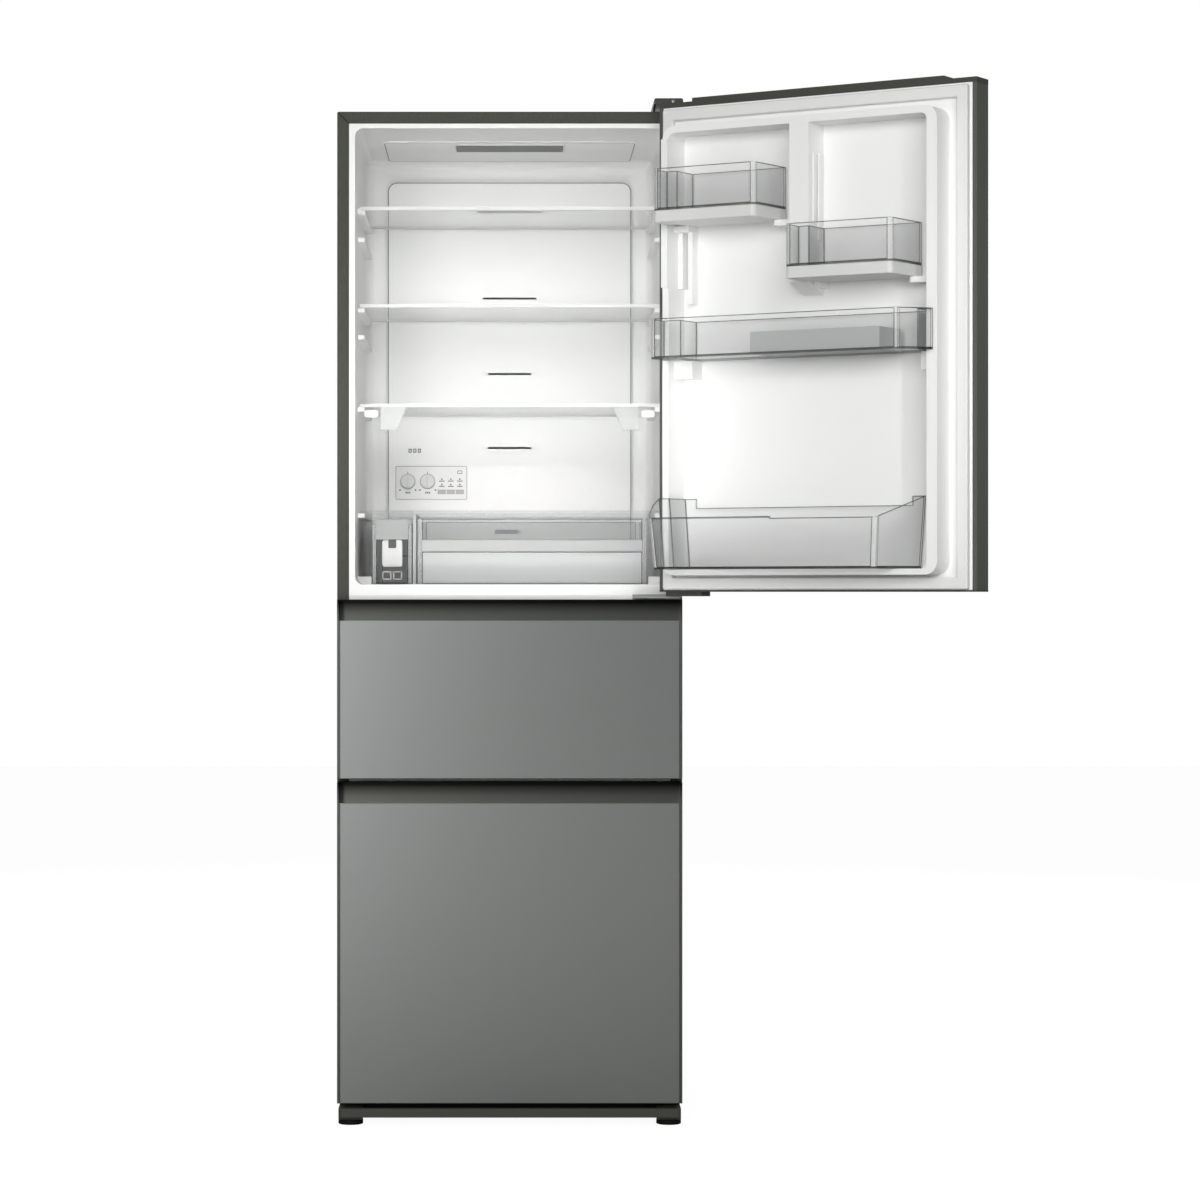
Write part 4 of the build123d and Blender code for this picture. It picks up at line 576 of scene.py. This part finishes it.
def bin_part(face):
    """A bin's rims and corners as above, and 1 for the thick line of painted shade round its floor."""
    rise = min(abs(face.calc_center_median().z - floor) for floors in tub_floors.values() for floor in floors)
    return 1 if rise < base_line and abs(face.normal.z) < lying_flat else rim_or_corner(face)


def clear_copy(node, finish, choose, cuts=(), more=()):
    """A rounded copy of a clear moulding, with painted shade on its rims and a painted highlight on its
    corners.
    """
    return rounded_copy(
        node,
        finish,
        0.4,
        segments=1,
        more=(painted_edge_shade, painted_corner_highlight, *more),
        choose=choose,
        border=1.4,
        cuts=cuts,
        flat=4.0,
    )


clear_pieces = [
    clear_copy(node, clear_plastic, bin_part, cuts=[floor + base_line for floor in floors])
    for node, floors in tub_floors.items()
]
clear_pieces += [
    clear_copy("water_tank", clear_plastic, rim_or_corner),
    clear_copy("chilled_case", case_plastic, case_part, cuts=[handle_level], more=(frosted_plastic,)),
    rounded_copy("inner_tray", tinted_tray, 0.4),
    rounded_copy("shelves", shelf_glass, 0.4),
    rounded_copy("case_cover", shelf_glass, 0.4),
]
print("clear pieces:", len(clear_pieces))

# %% [markdown]
# The foam inside the cabinet and the door is never seen from outside, so its CAD pieces stay as they are and
# only take the finish.

# %% Foam
for node in ("cabinet_foam", "door_core"):
    nodes[node].data.materials.clear()
    nodes[node].data.materials.append(foam)
print("foam pieces:", 2)

# %% [markdown]
# ## Small fittings
# The rest is too fine for the CAD model: frames, marks, lamps, stops, ribs and a screw head. Nearly all are
# flat plates with round corners, so one function draws such a plate in any direction: a single face, its
# corners bevelled, pulled out to its thickness and softened along its front edge.


# %% Helpers for small fittings
def facing(place, normal, up=(0, 0, 1)):
    """A frame at a place whose Z axis looks along the normal and whose Y axis is up."""
    ahead = Vector(normal).normalized()
    upright = Vector(up).normalized()
    right = upright.cross(ahead)
    turn = Matrix((right, upright, ahead)).transposed().to_4x4()
    return Matrix.Translation(place) @ turn


def add_plate(shape, frame_at, width, height, depth, corner, soft=0.0003, hole=0.0):
    """Add a plate with round corners; with a hole, only a ring of that breadth is left."""
    plate = bmesh.new()
    scale = Matrix.Diagonal((width, height, 1, 1))
    bmesh.ops.create_grid(plate, x_segments=1, y_segments=1, size=0.5, matrix=frame_at @ scale)
    if corner:
        corners = plate.verts[:]
        bmesh.ops.bevel(
            plate, geom=corners, offset=corner, segments=4, profile=0.5, affect="VERTICES", material=-1
        )
    if hole:
        middle_face = plate.faces[:]
        bmesh.ops.inset_region(
            plate, faces=middle_face, thickness=hole, use_boundary=True, use_even_offset=True
        )
        bmesh.ops.delete(plate, geom=middle_face, context="FACES")
    pulled = bmesh.ops.extrude_face_region(plate, geom=plate.faces[:])["geom"]
    front = [part for part in pulled if isinstance(part, bmesh.types.BMFace)]
    moved = [part for part in pulled if isinstance(part, bmesh.types.BMVert)]
    bmesh.ops.translate(plate, verts=moved, vec=frame_at.to_3x3() @ Vector((0, 0, depth)))
    if soft:
        rim = [edge for edge in plate.edges if sum(face in front for face in edge.link_faces) == 1]
        bmesh.ops.bevel(plate, geom=rim, offset=soft, segments=2, profile=0.5, affect="EDGES", material=-1)
    part = bpy.data.meshes.new("plate")
    plate.to_mesh(part)
    plate.free()
    shape.from_mesh(part)
    bpy.data.meshes.remove(part)


def add_piece(name, shape, body, finish):
    """Turn a shape into a piece that rides on a body."""
    bmesh.ops.recalc_face_normals(shape, faces=shape.faces)
    shade_smooth(shape, 35)
    mesh = bpy.data.meshes.new(name)
    shape.to_mesh(mesh)
    shape.free()
    mesh.materials.append(finish)
    piece = bpy.data.objects.new(name, mesh)
    bpy.context.scene.collection.objects.link(piece)
    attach(piece, body)
    return piece


to_front = (0, -1, 0)
to_back = (0, 1, 0)
to_floor = (0, 0, -1)
print("a plate at the origin faces", facing((0, 0, 0), to_front).to_3x3() @ Vector((0, 0, 1)))

# %% [markdown]
# The lamp in the ceiling sits in a thin white frame, which hides the cut in the panel.

# %% Frame round the ceiling lamp
lens_low, lens_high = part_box("lamp_lens")
panel_low, panel_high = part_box("lamp_panel")
lens_centre = (lens_low + lens_high) / 2
frame_breadth = 0.004
frame_gap = 0.0003
frame_depth = 0.0015
frame_corner = 0.009
shape = bmesh.new()
add_plate(
    shape,
    facing((lens_centre.x, lens_centre.y, panel_low.z), to_floor, up=to_front),
    lens_high.x - lens_low.x + 2 * frame_breadth,
    lens_high.y - lens_low.y + 2 * frame_breadth,
    frame_depth,
    frame_corner,
    hole=frame_breadth - frame_gap,
)
lamp_frame = add_piece("lamp_frame", shape, "cabinet", white_plastic)
print("lamp frame faces:", len(lamp_frame.data.polygons))

# %% [markdown]
# The control plate carries printed marks: over each dial a tick, at both ends of its travel a dot, and below
# it three short bars. Real plates are screen printed, so each mark is drawn as a film of ink.


# %% Marks round the dials
plate_low, plate_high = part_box("control_plate")
plate_front = plate_low.y
ink_film = 0.00015
dials = [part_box(node) for node in ("fridge_dial", "freezer_dial")]
tick_size = (0.0009, 0.004)
tick_rise = 0.004
dot_size = (0.003, 0.003)
dot_corner = 0.0014
dot_gap = 0.002
dot_drop = 0.0035
bar_size = (0.0022, 0.003)
bar_corner = 0.0005
bar_pitch = 0.0032
bar_drop = 0.0085


def on_control(x, z):
    """A frame at a place on the front of the control plate."""
    return facing((x, plate_front, z), to_front)


shape = bmesh.new()
for dial_low, dial_high in dials:
    dial = (dial_low + dial_high) / 2
    reach = (dial_high.x - dial_low.x) / 2
    add_plate(shape, on_control(dial.x, dial.z + reach + tick_rise), *tick_size, ink_film, 0, 0)
    for turn in (-1, 1):
        spot = on_control(dial.x + turn * (reach + dot_gap), dial.z - reach - dot_drop)
        add_plate(shape, spot, *dot_size, ink_film, dot_corner, 0)
    for step in (-1, 0, 1):
        spot = on_control(dial.x + step * bar_pitch, dial.z - reach - bar_drop)
        add_plate(shape, spot, *bar_size, ink_film, bar_corner, 0)
dial_level = dial.z
print("marks round the dials:", len(shape.faces), "faces")

# %% [markdown]
# Six small indicator lamps stand in two rows beside the dials, each over a bar of ink, with a small outline
# above the last column. The bars and the outline belong to the same piece as the marks of the dials. The
# lamps stand a little proud.

# %% Indicator lamps and their marks
lamp_inset = 0.0475
lamp_pitch = 0.0168
lamp_size = (0.003, 0.003)
lamp_depth = 0.0006
lamp_corner = 0.0014
lamp_columns = [plate_high.x - lamp_inset + step * lamp_pitch for step in range(3)]
lamp_levels = (dial_level + 0.0043, dial_level - 0.0056)
label_size = (0.0105, 0.0016)
label_drop = 0.0036
label_corner = 0.0004
outline_size = (0.009, 0.006)
outline_rise = 0.0174
outline_corner = 0.002
outline_line = 0.001
for x in lamp_columns:
    for z in lamp_levels:
        add_plate(shape, on_control(x, z - label_drop), *label_size, ink_film, label_corner, 0)
spot = on_control(lamp_columns[2], dial_level + outline_rise)
add_plate(shape, spot, *outline_size, ink_film, outline_corner, 0, hole=outline_line)
control_marks = add_piece("control_marks", shape, "cabinet", print_ink)

shape = bmesh.new()
for x in lamp_columns:
    for z in lamp_levels:
        add_plate(shape, on_control(x, z), *lamp_size, lamp_depth, lamp_corner)
add_piece("indicator_lamps", shape, "cabinet", print_ink)
print("marks:", len(control_marks.data.polygons), "lamps:", len(lamp_columns) * len(lamp_levels))

# %% [markdown]
# A paler ink draws the line round the plate, a ring round each dial and three plain fields under the lamps.

# %% Lines and fields in the paler ink
rim_depth = 0.0006
rim_corner = 0.003
rim_line = 0.0014
ring_gap = 0.002
ring_line = 0.0015
ring_depth = 0.0004
round_share = 0.499
field_size = (0.0155, 0.0085)
field_drop = 0.0195
field_corner = 0.0006
shape = bmesh.new()
add_plate(
    shape,
    on_control((plate_low.x + plate_high.x) / 2, (plate_low.z + plate_high.z) / 2),
    plate_high.x - plate_low.x,
    plate_high.z - plate_low.z,
    rim_depth,
    rim_corner,
    hole=rim_line,
)
for dial_low, dial_high in dials:
    ring = dial_high.x - dial_low.x + 2 * ring_gap
    spot = on_control((dial_low.x + dial_high.x) / 2, (dial_low.z + dial_high.z) / 2)
    add_plate(shape, spot, ring, ring, ring_depth, ring * round_share, 0, hole=ring_line)
for x in lamp_columns:
    add_plate(shape, on_control(x, dial_level - field_drop), *field_size, ink_film, field_corner, 0)
add_piece("control_rim", shape, "cabinet", rim_ink)
print("rings:", len(dials), "fields:", len(lamp_columns))

# %% [markdown]
# Above the plate three small holes let air reach the temperature sensor. Each holds a small white grid that
# leaves only a thin dark gap all round.

# %% Grids of the temperature sensor
sensor_x = plate_low.x + 0.036
sensor_z = plate_high.z + 0.0285
sensor_pitch = 0.0088
sensor_depth = 0.0006
sensor_corner = 0.0008
sensor_soft = 0.0001
tallness = 1.3
frame_and_grid = (
    ("sensor_frames", print_ink, 0.0056, 0.0012),
    ("sensor_grids", white_plastic, 0.0032, 0),
)
for name, finish, size, line_breadth in frame_and_grid:
    shape = bmesh.new()
    for step in (-1, 0, 1):
        spot = facing((sensor_x + step * sensor_pitch, plate_high.y, sensor_z), to_front)
        height = size * tallness
        add_plate(shape, spot, size, height, sensor_depth, sensor_corner, sensor_soft, hole=line_breadth)
    add_piece(name, shape, "cabinet", finish)
print("sensor grids at", round(sensor_x, 4), round(plate_high.y, 4), round(sensor_z, 4))

# %% [markdown]
# White bosses stand on both walls under the front corners of the lowest shelf, and the top shelf has a
# small hook there. They keep the glass from sliding out.

# %% Bosses and hooks at the shelves
glass_low, glass_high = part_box("shelves")
boss_size = (0.024, 0.013, 0.02)
boss_corner = 0.004
boss_soft = 0.0015
boss_x = 0.245
boss_set = 0.012
hook_size = (0.007, 0.009, 0.012)
hook_corner = 0.002
hook_soft = 0.0008
hook_aside = 0.0005
hook_ahead = 0.001
hook_drop = 0.006
shape = bmesh.new()
for side in (-1, 1):
    spot = facing((side * boss_x, glass_low.y + boss_set, glass_low.z - boss_set), to_front)
    add_plate(shape, spot, *boss_size, boss_corner, boss_soft)
    hook_x = side * (glass_high.x + hook_aside)
    spot = facing((hook_x, glass_low.y - hook_ahead, glass_high.z - hook_drop), to_front)
    add_plate(shape, spot, *hook_size, hook_corner, hook_soft)
add_piece("shelf_stops", shape, "cabinet", liner_plastic)
print("bosses stand", boss_size[2], "m deep, hooks", hook_size[2], "m")

# %% [markdown]
# The side of the door's pillar has two slim upright ribs, which guide the bin beside it. They stand square to
# the open door, so its two directions come first: along the door from the hinge, and out of its inner face.

# %% Ribs on the pillar
door_turn = radians(147.7)
along_door = Vector((-cos(door_turn), -sin(door_turn), 0))
out_of_door = Vector((-sin(door_turn), cos(door_turn), 0))
hinge_edge = Vector((0.25816, -0.05461, 0))
pillar_reach = 0.3138
pillar_side = hinge_edge + along_door * pillar_reach
rib_top = 1.651
rib_depth = 0.0022
rib_corner = 0.004
rib_soft = 0.0008
outer_rib = (0.0315, 0.011, 1.532)
inner_rib = (0.011, 0.014, 1.505)
shape = bmesh.new()
for stand, breadth, rib_low in (outer_rib, inner_rib):
    spot = pillar_side + out_of_door * stand + Vector((0, 0, (rib_low + rib_top) / 2))
    add_plate(shape, facing(spot, along_door), breadth, rib_top - rib_low, rib_depth, rib_corner, rib_soft)
add_piece("pillar_ribs", shape, "door", liner_plastic)
print("ribs on the pillar:", 2, "from", [round(v, 3) for v in pillar_side])

# %% [markdown]
# The liner is drawn from one warm sheet, so its rear corners can't be sharp. A coved strip runs round the
# back of the compartment: it is the rear of a box whose edges are bevelled, with the flat walls taken away.

# %% Cove round the back of the fridge compartment
back_low, back_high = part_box("duct_panel")
cove_radius = 0.026
cove_depth = 2 * cove_radius
cove_rear = back_high.y - 0.002
cove_middle = ((back_low.x + back_high.x) / 2, cove_rear - cove_depth / 2, (back_low.z + back_high.z) / 2)
cove_size = (back_high.x - back_low.x, cove_depth, back_high.z - back_low.z, 1)
hair = 0.0001
straight = 0.999
shape = bmesh.new()
bmesh.ops.create_cube(shape, size=1, matrix=Matrix.Translation(cove_middle) @ Matrix.Diagonal(cove_size))
rear_edges = [e for e in shape.edges if all(abs(v.co.y - cove_rear) < hair for v in e.verts)]
bmesh.ops.bevel(
    shape, geom=rear_edges, offset=cove_radius, segments=8, profile=0.5, affect="EDGES", material=-1
)
flat_faces = [face for face in shape.faces if max(abs(part) for part in face.normal) > straight]
bmesh.ops.delete(shape, geom=flat_faces, context="FACES")
liner_cove = add_piece("liner_cove", shape, "cabinet", liner_plastic)
liner_cove.data.flip_normals()
print("cove strips:", len(liner_cove.data.polygons))

# %% [markdown]
# The duct cover and the lamp panel are snapped on, which leaves a fine joint all round them. A thin shaded
# line draws that joint on the face of each cover.

# %% Joints round the duct cover and the lamp panel
joint = 0.0016
joint_film = 0.0002
duct_half = 0.227
duct_bottom = 0.985
duct_top = 1.683
duct_corner = 0.017
duct_place = facing((0, back_low.y, (duct_bottom + duct_top) / 2), to_front)
duct_size = (2 * duct_half, duct_top - duct_bottom)
panel_inset = 0.002
panel_corner = 0.016
panel_middle = (panel_low + panel_high) / 2
shape = bmesh.new()
add_plate(shape, duct_place, *duct_size, joint_film, duct_corner, 0, hole=joint)
add_plate(
    shape,
    facing((panel_middle.x, panel_middle.y, panel_low.z), to_floor, up=to_front),
    panel_high.x - panel_low.x - 2 * panel_inset,
    panel_high.y - panel_low.y - 2 * panel_inset,
    joint_film,
    panel_corner,
    0,
    hole=joint,
)
add_piece("panel_joints", shape, "cabinet", seam_shade)
print("duct cover from", [round(v, 3) for v in back_low], "to", [round(v, 3) for v in back_high])

# %% [markdown]
# A short port in the rear wall blows air into the chilled case. Its dark inside is painted shade: a thin black
# plate on the wall, which shows through the clear front of the case.

# %% Painted shade of the port behind the chilled case
port_place = (-0.0065, back_low.y, 1.0308)
port_size = (0.042, 0.008, 0.0006)
port_corner = 0.001
port_soft = 0.0002
# A black plate paints the shade inside the port
shape = bmesh.new()
add_plate(shape, facing(port_place, to_front), *port_size, port_corner, port_soft)
add_piece("case_port_painted_shade", shape, "cabinet", foot_plastic)

# %% [markdown]
# Through the clear front of the water tank one sees its valve: a white cover, a dark slot over it and two
# framed windows below.

# %% Valve of the water tank
tank_low, tank_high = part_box("water_tank")
tank_x = (tank_low.x + tank_high.x) / 2
valve_y = tank_low.y + 0.012
valve_depth = 0.006
valve_size = (0.036, 0.048)
valve_rise = 0.055
valve_corner = 0.005
valve_soft = 0.001
window_size = (0.016, 0.015)
window_aside = 0.0095
window_rise = 0.0155
window_corner = 0.002
window_frame = 0.002
window_soft = 0.0004
slot_size = (0.014, 0.016, 0.0008)
slot_rise = 0.072
slot_corner = 0.002
slot_soft = 0.0002
shape = bmesh.new()
spot = facing((tank_x, valve_y, tank_low.z + valve_rise), to_front)
add_plate(shape, spot, *valve_size, valve_depth, valve_corner, valve_soft)
for side in (-1, 1):
    spot = facing((tank_x + side * window_aside, valve_y, tank_low.z + window_rise), to_front)
    add_plate(shape, spot, *window_size, valve_depth, window_corner, window_soft, hole=window_frame)
tank_valve = add_piece("tank_valve", shape, "water_tank", white_plastic)

shape = bmesh.new()
spot = facing((tank_x, valve_y - valve_depth, tank_low.z + slot_rise), to_front)
add_plate(shape, spot, *slot_size, slot_corner, slot_soft)
tank_slot = add_piece("tank_slot", shape, "water_tank", cap_plastic)
print("tank valve faces:", len(tank_valve.data.polygons) + len(tank_slot.data.polygons))

# %% [markdown]
# One screw holds the hinge cover. Its low round head sits in the cover's front.

# %% Screw of the hinge cover
cover_low, cover_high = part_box("hinge_cover")
head_size = (0.006, 0.006, 0.0012)
head_corner = 0.0028
head_soft = 0.0005
head_aside = 0.008
head_rise = 0.010
head_x = (cover_low.x + cover_high.x) / 2 + head_aside
head = facing((head_x, cover_low.y, cover_low.z + head_rise), to_front)
shape = bmesh.new()
add_plate(shape, head, *head_size, head_corner, head_soft)
add_piece("cover_screw", shape, "cabinet", zinc_plate)
print("cover screw at", [round(v, 3) for v in head.translation])

# %% [markdown]
# ## The back
# The rear panel has two long shallow beads that stiffen the sheet. A plain cover protects the terminals of
# the compressor.

# %% Beads on the rear panel and cover of the terminals
rear_low, rear_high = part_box("rear_panel")
bead_x = 0.14
bead_width = 0.12
bead_share = 0.86
bead_depth = 0.003
bead_corner = 0.03
bead_soft = 0.002
bead_height = (rear_high.z - rear_low.z) * bead_share
shape = bmesh.new()
for side in (-1, 1):
    spot = facing((side * bead_x, rear_high.y, ((rear_low + rear_high) / 2).z), to_back)
    add_plate(shape, spot, bead_width, bead_height, bead_depth, bead_corner, bead_soft)
add_piece("rear_beads", shape, "cabinet", galvanised)

can_low, can_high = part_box("compressor")
can = (can_low + can_high) / 2
terminal_place = (can_low.x + 0.030, can.y, can.z + 0.015)
terminal_size = (0.06, 0.055, 0.03)
terminal_corner = 0.006
terminal_soft = 0.002
shape = bmesh.new()
add_plate(shape, facing(terminal_place, (-1, 0, 0)), *terminal_size, terminal_corner, terminal_soft)
add_piece("terminal_cover", shape, "cabinet", cap_plastic)
print("rear beads:", 2, "terminal cover at", [round(v, 3) for v in terminal_place])

# %% [markdown]
# ## Floor, light and camera
# The picture is a plain catalogue shot, white all round. To the camera the floor gives off its own light and
# keeps only a faint shadow. To every other ray it is a plain pale floor, which lights the object as a real
# one would.

# %% Floor
floor_finish = bpy.data.materials.new("pale_floor")
floor_finish.use_nodes = True
tree = floor_finish.node_tree
tree.nodes.clear()
path = add_node(tree, "ShaderNodeLightPath")
glow = add_node(tree, "ShaderNodeEmission", {"Color": linear("#FFFFFF"), "Strength": 0.94})
matt = add_node(tree, "ShaderNodeBsdfDiffuse", {"Color": linear("#707070")})
lit = add_node(tree, "ShaderNodeAddShader", {0: glow.outputs[0], 1: matt.outputs[0]})
pale = add_node(tree, "ShaderNodeBsdfDiffuse", {"Color": linear("#9A9A98")})
pair = {0: path.outputs["Is Camera Ray"], 1: pale.outputs[0], 2: lit.outputs[0]}
both = add_node(tree, "ShaderNodeMixShader", pair)
add_node(tree, "ShaderNodeOutputMaterial", {"Surface": both.outputs[0]})
floor_half = 12
shape = bmesh.new()
bmesh.ops.create_grid(shape, x_segments=2, y_segments=2, size=floor_half)
floor_mesh = bpy.data.meshes.new("floor")
shape.to_mesh(floor_mesh)
shape.free()
floor_mesh.materials.append(floor_finish)
floor = bpy.data.objects.new("floor", floor_mesh)
bpy.context.scene.collection.objects.link(floor)
print("floor size in metres:", tuple(floor.dimensions))

# %% [markdown]
# The world is plain white where the camera looks at it, also through clear plastic. For all other rays it is
# much weaker, because a bright room would wash out the sheen of the drawer fronts.

# %% World
scene = bpy.context.scene
scene.view_settings.view_transform = "Standard"
world = bpy.data.worlds.new("white_room")
world.use_nodes = True
scene.world = world
tree = world.node_tree
tree.nodes.clear()
path = add_node(tree, "ShaderNodeLightPath")
rays = {0: path.outputs["Is Camera Ray"], 1: path.outputs["Is Transmission Ray"]}
seen = add_node(tree, "ShaderNodeMath", rays, operation="MAXIMUM")
room = add_node(tree, "ShaderNodeBackground", {"Color": linear("#FFFFFF"), "Strength": 0.21})
backdrop = add_node(tree, "ShaderNodeBackground", {"Color": linear("#FFFFFF"), "Strength": 1.0})
pair = {0: seen.outputs[0], 1: room.outputs[0], 2: backdrop.outputs[0]}
both = add_node(tree, "ShaderNodeMixShader", pair)
add_node(tree, "ShaderNodeOutputWorld", {"Surface": both.outputs[0]})
print("room light:", room.inputs["Strength"].default_value)

# %% [markdown]
# The rest of the light comes from flat soft boxes, as in a studio. A tall one at the left mirrors in the
# drawer fronts and draws their slanting sheen, and a wide one in front gives the even light. Three weak
# narrow ones reach into the compartment, down to the chilled case and onto the open door. Two behind the
# refrigerator light its sides and back for other views. The front one and the three weak ones are kept out of
# reflections, where they would show as bright patches.


# %% Soft boxes
def soft_box(name, place, target, size, power, spread=180, mirrored=True):
    """A flat rectangular lamp that looks from a place at a target, and may be kept out of reflections."""
    lamp = bpy.data.lights.new(name, "AREA")
    lamp.shape = "RECTANGLE"
    lamp.size, lamp.size_y = size
    lamp.energy = power
    lamp.spread = radians(spread)
    lamp_object = bpy.data.objects.new(name, lamp)
    lamp_object.location = place
    lamp_object.rotation_euler = (Vector(target) - Vector(place)).to_track_quat("-Z", "Y").to_euler()
    lamp_object.visible_glossy = mirrored
    scene.collection.objects.link(lamp_object)
    return lamp_object


middle = (0.15, 0.0, 0.9)
upper_back = (-0.02, 0.435, 1.5)
lower_back = (0.0, 0.435, 1.06)
door_face = (0.8, -0.4, 1.3)
lamps = [
    soft_box("left_box", (-2.1, -6.2, 1.7), middle, (1.3, 3.4), 66),
    soft_box("front_box", (0.2, -6.0, 2.3), middle, (4.6, 2.0), 184, mirrored=False),
    soft_box("inner_box", (-0.02, -1.2, 0.6), upper_back, (0.5, 0.3), 1.05, spread=44, mirrored=False),
    soft_box("low_box", (0.0, -1.2, 1.6), lower_back, (0.5, 0.05), 0.13, spread=18, mirrored=False),
    soft_box("door_box", (1.6, -3.0, 1.35), door_face, (0.15, 0.7), 0.2, spread=14, mirrored=False),
    soft_box("left_fill", (-2.6, 3.8, 2.4), middle, (1.6, 1.6), 60),
    soft_box("right_fill", (2.6, 3.8, 2.4), middle, (1.6, 1.6), 60),
]
print("lamps in watts:", [round(lamp.data.energy, 2) for lamp in lamps])

# %% [markdown]
# The camera stands level at about half height and six metres away, and looks straight at the cabinet. The
# picture is cropped off centre, which a small lens shift gives without tilting any upright line. The long
# lens keeps the cabinet's edges nearly parallel.

# %% Camera
camera = bpy.data.cameras.new("catalogue_camera")
camera.lens = 101.85
camera.shift_x = 0.0767
camera.shift_y = -0.0068
camera_object = bpy.data.objects.new("catalogue_camera", camera)
camera_object.location = (-0.003, -5.904, 0.919)
camera_object.rotation_euler = (radians(90), 0, 0)
scene.collection.objects.link(camera_object)
scene.camera = camera_object
print("camera distance in metres:", abs(camera_object.location.y))

# %% [markdown]
# ## Finish

# %% Finish
import json
